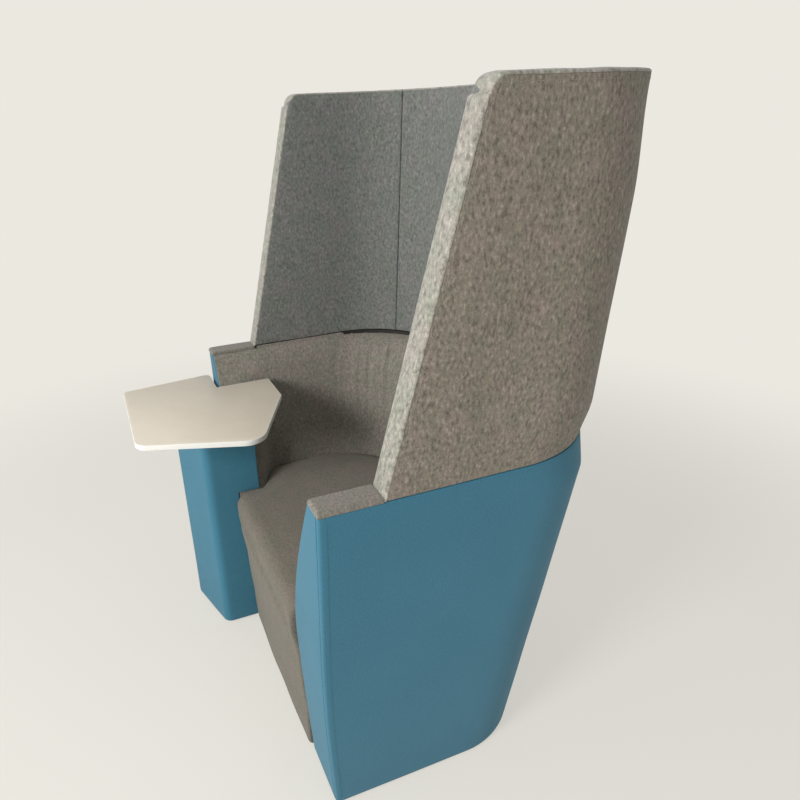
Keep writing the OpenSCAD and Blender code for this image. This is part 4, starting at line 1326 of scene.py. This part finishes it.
@dataclass
class Pedestal:
    """The blue pedestal before the left arm."""

    palette: Palette
    out: float = 447
    inner: float = 247
    front_out: float = 152
    front_in: float = 98
    back: float = 20.8
    ear: float = 38
    ear_low: float = 428
    height: float = 683
    corner_r: float = 24
    bends: int = 8
    cover_t: float = 7.6
    arm_gap: float = 0.8
    ear_gap: float = 0.02
    ear_lap: float = 0.5

    def _path(self) -> List[Vector]:
        """The cover's plan line from the arm round the outside and the front, and back to the arm."""
        slope = (self.front_out - self.front_in) / (self.out - self.inner)
        r, lean = self.corner_r, math.atan(slope)
        line = [Vector((-self.out, -self.back))]
        for x, start, turn in ((-self.out + r, math.pi, QUARTER + lean),
                               (-self.inner - r, 3 * QUARTER + lean, QUARTER - lean)):
            y = r - (self.front_in + slope * (-x - self.inner))
            for k in range(self.bends + 1):
                a = start + turn * k / self.bends
                line.append(Vector((x + r * math.cos(a), y + r * math.sin(a))))
        return line + [Vector((-self.inner, -self.back))]

    def build_wrap(self) -> None:
        """Makes the cover that is wrapped round the pedestal."""
        line = self._path()
        runs = run_lengths(line)
        last = len(runs) - 2

        def surface(u: float, v: float) -> Vector:
            """The cover's outer face, u along its plan line, v up."""
            k, t = find_run(runs, u * runs[-1])
            z = mix(LAY.glide_h, self.height, v)
            # Both rear ends stay close to the arm front, which bows forward with height
            reach = (self.back + LAY.front_y(z) - self.arm_gap) * (1 - t if k == 0 else t if k == last else 0)
            at = line[k].lerp(line[k + 1], t)
            return Vector((at.x, at.y + reach, z))

        def ripple(u: float, v: float) -> float:
            """Faint unevenness of foam, none where the side pad carries the face on."""
            return 0.5 * noise.noise(Vector((u * 5, v * 5, 4.4))) * ease((1 - u) / 0.1)

        pad = Pad("pedestal_wrap", surface, (runs[-1], self.height - LAY.glide_h), (80, 60), self.cover_t,
                  Rims(2, 0, 4, 6), ripple=ripple)
        upholster(pad, self.palette.blue, ["pedestal_cover"])

    def build_side_pad(self) -> None:
        """Makes the pad that carries the inner face on beside the arm, and thins out on the arm's bulge."""
        def surface(u: float, v: float) -> Vector:
            """The pad's face, u from the pedestal to its rear end, v up."""
            return Vector((-self.inner, mix(self.ear_gap - self.back, self.ear, u),
                           mix(self.ear_low, self.height, v)))

        def arm_side(u: float, v: float) -> Vector:
            """The pad's back, on the lining of the arm."""
            at = surface(u, v)
            return Vector((self.ear_lap - (LAY.half_w(at.z) - LAY.arm_t(at.z)), at.y, at.z))

        pad = Pad("pedestal_side_pad", surface, (self.ear + self.back, self.height - self.ear_low), (16, 50), 10,
                  Rims(0, 2.0, 1.5, 6), lean=arm_side)
        upholster(pad, self.palette.blue, ["pedestal_cheek"])

    def build(self) -> None:
        """Makes the cover and the side pad."""
        self.build_wrap()
        self.build_side_pad()


@dataclass
class Tablet:
    """The swivelling writing tablet: a laminate board and its edging."""

    palette: Palette
    top: float = 703
    thick: float = 13
    edge: float = 1.5
    gap: float = 8
    rear: float = 113
    board_round: float = 0.3
    edge_round: float = 1.0
    sharp: float = 1.0
    tiny: float = 0.01
    middle: Tuple[float, float] = (-200, -90)

    def _corners(self) -> List[Tuple[float, float, float]]:
        """Sharp corners of the outline with their radii, anticlockwise from the arm's outer side."""
        level = self.top - self.thick
        arm_in = LAY.half_w(level) - LAY.arm_t(level)
        notch_x, notch_y = -arm_in + self.gap, -LAY.front_bow - self.gap
        side_x, front_y = -LAY.half_w(level) - self.gap / 2, -LAY.tablet_front
        return [(side_x, notch_y, 14), (side_x + 28, front_y, 10), (-84.5, front_y, 34), (12.5, 3.5, 46),
                (-217, self.rear, 5), (notch_x, self.rear, 5), (notch_x, notch_y, 0.6)]

    def _outline(self, bm: bmesh.types.BMesh) -> bmesh.types.BMFace:
        """Adds the outline with rounded corners, as the board's face in a rim as wide as the edging.

        Args:
            bm: The bmesh to add to, in millimetres of the layout.

        Returns:
            The board's face.
        """
        marks = self._corners()
        bm.faces.new([bm.verts.new((x, y, self.top - self.thick)) for x, y, _ in marks])
        for k, (x, y, r) in enumerate(marks):
            vert = min(bm.verts, key=lambda p: math.hypot(p.co.x - x, p.co.y - y))
            (px, py, _), (nx, ny, _) = marks[k - 1], marks[(k + 1) % len(marks)]
            turn = Vector((px - x, py - y)).angle(Vector((nx - x, ny - y)))
            bmesh.ops.bevel(bm, geom=[vert], offset=r / math.tan(turn / 2), offset_type="OFFSET",
                            segments=12 if r > 1 else 2, profile=0.5, affect="VERTICES", material=-1)
        face = max(bm.faces, key=lambda f: f.calc_area())
        bmesh.ops.inset_region(bm, faces=[face], thickness=self.edge, use_even_offset=True, use_boundary=True)
        bm.faces.ensure_lookup_table()
        return max(bm.faces, key=lambda f: f.calc_area())

    def _slab(self, bm: bmesh.types.BMesh, name: str, is_rim: Callable[[bmesh.types.BMEdge], bool],
              radius: float, segments: int) -> bpy.types.Object:
        """Gives flat faces the tablet's thickness and rounds their rims.

        Args:
            bm: The faces, in millimetres of the layout. It is freed.
            name: Name of the piece.
            is_rim: True for the edges to round, of those that are sharp.
            radius: Width of the rounding.
            segments: Its faces.

        Returns:
            The piece.
        """
        made = bmesh.ops.extrude_face_region(bm, geom=bm.faces[:], use_keep_orig=True)["geom"]
        for g in made:
            if isinstance(g, bmesh.types.BMVert):
                g.co.z += self.thick
        bmesh.ops.recalc_face_normals(bm, faces=bm.faces[:])
        rim = [e for e in bm.edges if len(e.link_faces) == 2 and e.calc_face_angle(0) > self.sharp and is_rim(e)]
        bmesh.ops.bevel(bm, geom=rim, offset=radius, offset_type="OFFSET", segments=segments, profile=0.5,
                        affect="EDGES", material=-1)
        for v in bm.verts:
            v.co = LAY.place(*v.co)
        return finish_mesh(bm, name, smooth_angle=35)

    def _is_upper(self, edge: bmesh.types.BMEdge) -> bool:
        """True for an edge of the upper face."""
        return all(v.co.z > self.top - self.tiny for v in edge.verts)

    def _is_outer(self, edge: bmesh.types.BMEdge) -> bool:
        """True for a level edge whose upright face looks away from the board's middle."""
        a, b = (v.co for v in edge.verts)
        upright = [f for f in edge.link_faces if abs(f.normal.z) < 0.5]
        if abs(a.z - b.z) >= self.tiny or not upright:
            return False
        out = (a + b) / 2 - Vector((*self.middle, a.z))
        return upright[0].normal.dot(out) > 0

    def build_board(self) -> None:
        """Makes the laminate board with a softened upper edge."""
        bm = bmesh.new()
        face = self._outline(bm)
        bmesh.ops.delete(bm, geom=[f for f in bm.faces if f is not face], context="FACES")
        obj = self._slab(bm, "tablet_board", self._is_upper, self.board_round, 2)
        dress(obj, self.palette.cream, ["tablet_top"], Body.TABLET)

    def build_edging(self) -> None:
        """Makes the white edging, rounded on its outer side."""
        bm = bmesh.new()
        bmesh.ops.delete(bm, geom=[self._outline(bm)], context="FACES_ONLY")
        obj = self._slab(bm, "tablet_edge_band", self._is_outer, self.edge_round, 3)
        dress(obj, self.palette.white, ["tablet_edging"], Body.TABLET)

    def build(self) -> None:
        """Makes the board and the edging."""
        self.build_board()
        self.build_edging()


@dataclass
class Carcass:
    """The CAD nodes that keep their shape: boards, ribs, webbing, fasteners, glides and the swivel."""

    palette: Palette

    def build(self) -> None:
        """Gives each kept CAD node its finish."""
        finishes = {"plywood": self.palette.ply, "steel": self.palette.zinc, "nylon": self.palette.nylon,
                    "webbing": self.palette.web}
        slots = {p["node"]: p["material_slot"] for p in frame["record"]["subparts"]}
        for name, obj in frame["nodes"].items():
            if obj.hide_render:
                continue
            obj.data.materials.clear()
            # The screen's boards, which show in the shadow gap, get near-black plywood: painted shade, so that
            # the gap reads dark and no pale edge shows there
            shade_board = name.startswith("screen_")
            obj.data.materials.append(self.palette.painted_shade_ply if shade_board else finishes[slots[name]])
            LOG.info("CAD node %s: finish %s", name, slots[name])


# ------------------------------------------------------------------ studio


@dataclass(frozen=True)
class Lamp:
    """A soft square lamp: its place, the point it looks at and its side in metres, its watts and its colour."""

    name: str
    at: Point
    aim: Point
    size: float
    power: float
    tint: Point

    def build(self) -> None:
        """Adds the lamp to the scene."""
        data = bpy.data.lights.new(self.name, "AREA")
        data.shape, data.size, data.energy, data.color = "SQUARE", self.size, self.power, self.tint
        lamp = bpy.data.objects.new(self.name, data)
        lamp.location = self.at
        lamp.rotation_euler = (Vector(self.aim) - Vector(self.at)).to_track_quat("-Z", "Y").to_euler()
        bpy.context.scene.collection.objects.link(lamp)


LAMPS = (
    Lamp("window", (1.5, -2.9, 2.1), (0, 0, 0.6), 1.0, 92, (1.0, 0.99, 0.965)),
    Lamp("front", (-0.5, -3.4, 1.3), (0, 0, 0.7), 2.0, 28, (0.93, 0.98, 1.0)),
    Lamp("left_wall", (-2.7, -0.8, 2.7), (0, 0, 0.5), 1.4, 9, (1.0, 0.99, 0.97)),
    Lamp("right_wall", (2.3, 0.9, 0.8), (0.3, 0, 0.6), 1.6, 10, (1.0, 0.98, 0.95)),
    Lamp("ceiling", (0.2, 0.2, 3.6), (0, 0, 0.5), 3.0, 25, (1.0, 0.99, 0.97)),
)


@dataclass
class Studio:
    """Floor, backdrop, lamps and the camera at the photograph's place."""

    backdrop: Tuple[float, float, float] = (235, 232, 224)
    eye: Point = (1292.05, -279.73, 1363.11)
    yaw: float = 1.21786
    pitch: float = 0.42254
    roll: float = -0.04491
    focal_px: float = 660.09
    centre_px: Tuple[float, float] = (341.83, 405.29)
    frame_px: float = 800
    sensor_mm: float = 36
    floor_half: float = 30
    far_scale: float = 0.33
    near_share: float = 0.65
    sky: Tuple[float, ...] = (0.93, 0.96, 1.0, 1)
    sky_light: float = 0.17

    def build_camera(self) -> None:
        """Makes the camera."""
        a, e, r = self.yaw, self.pitch, self.roll
        ahead = Vector((-math.sin(a) * math.cos(e), math.cos(a) * math.cos(e), -math.sin(e)))
        level = Vector((math.cos(a), math.sin(a), 0))
        up = level.cross(ahead)
        right = level * math.cos(r) + up * math.sin(r)
        top = up * math.cos(r) - level * math.sin(r)
        data = bpy.data.cameras.new("camera")
        data.sensor_width = self.sensor_mm
        data.lens = self.focal_px / self.frame_px * self.sensor_mm
        data.shift_x = (self.frame_px / 2 - self.centre_px[0]) / self.frame_px
        data.shift_y = (self.centre_px[1] - self.frame_px / 2) / self.frame_px
        camera = bpy.data.objects.new("camera", data)
        bpy.context.scene.collection.objects.link(camera)
        turn = Matrix((right, top, -ahead)).transposed().to_4x4()
        camera.matrix_world = Matrix.Translation(LAY.place(*self.eye)) @ turn
        bpy.context.scene.camera = camera

    def _show_backdrop(self, n: Nodes, glow_kind: str, share: Optional[Socket] = None) -> None:
        """Shows the backdrop's colour to the camera, to gloss and to glass, in place of a lit shader.

        Args:
            n: The nodes of the floor's material or of the world.
            glow_kind: Kind of the node that shows the colour.
            share: How much of it they see, if not all.
        """
        rays = n.add("ShaderNodeLightPath").outputs
        seen = n.math("MAXIMUM", rays["Is Camera Ray"], rays["Is Glossy Ray"])
        seen = n.math("MAXIMUM", seen, rays["Is Transmission Ray"])
        if share is not None:
            seen = n.math("MULTIPLY", seen, share)
        glow = n.add(glow_kind, Color=(*linear(*self.backdrop), 1))
        both = n.add("ShaderNodeMixShader")
        n.join(seen, both.inputs["Fac"])
        n.join(n.shader.outputs[0], both.inputs[1])
        n.join(glow.outputs[0], both.inputs[2])
        n.join(both.outputs[0], n.surface)

    def build_floor(self) -> None:
        """Makes the floor, which keeps the shadow near the chair and turns into the backdrop far off."""
        bm = bmesh.new()
        bmesh.ops.create_grid(bm, x_segments=4, y_segments=4, size=self.floor_half)
        floor = finish_mesh(bm, "floor")
        n, base = Finish("studio_floor", self.backdrop).start()
        n.paint(n.shades(n.noise(n.coords(), 3.0, 2), base, [(0.3, 0.995), (0.7, 1.0)]))
        n.set(Roughness=0.9, Specular_IOR_Level=0.1)
        gradient = n.add("ShaderNodeTexGradient", gradient_type="SPHERICAL")
        n.join(n.coords(scale=(self.far_scale,) * 3), gradient.inputs["Vector"])
        far = n.add("ShaderNodeMapRange", interpolation_type="SMOOTHSTEP", From_Min=0.62, From_Max=0.05,
                    To_Min=self.near_share)
        n.join(gradient.outputs["Fac"], far.inputs["Value"])
        self._show_backdrop(n, "ShaderNodeEmission", far.outputs["Result"])
        floor.data.materials.append(n.owner)

    def build_world(self) -> None:
        """Makes the soft light from all round, seen by the camera as the backdrop."""
        world = bpy.data.worlds.new("studio")
        bpy.context.scene.world = world
        n = Nodes(world)
        n.set(Color=self.sky, Strength=self.sky_light)
        self._show_backdrop(n, "ShaderNodeBackground")

    def build(self) -> None:
        """Makes the whole studio."""
        self.build_camera()
        self.build_floor()
        self.build_world()
        for lamp in LAMPS:
            lamp.build()
        bpy.context.scene.view_settings.view_transform = "Standard"


def main() -> None:
    """Builds the chair's pieces and the studio in order."""
    logging.basicConfig(level=logging.INFO, format="%(relativeCreated)d ms %(message)s")
    Studio().build()
    palette = Palette()
    for part in (TubOutside(palette), TubInside(palette), Screen(palette), Pedestal(palette), Tablet(palette)):
        part.build()
    Carcass(palette).build()


if __name__ == "__main__":
    main()
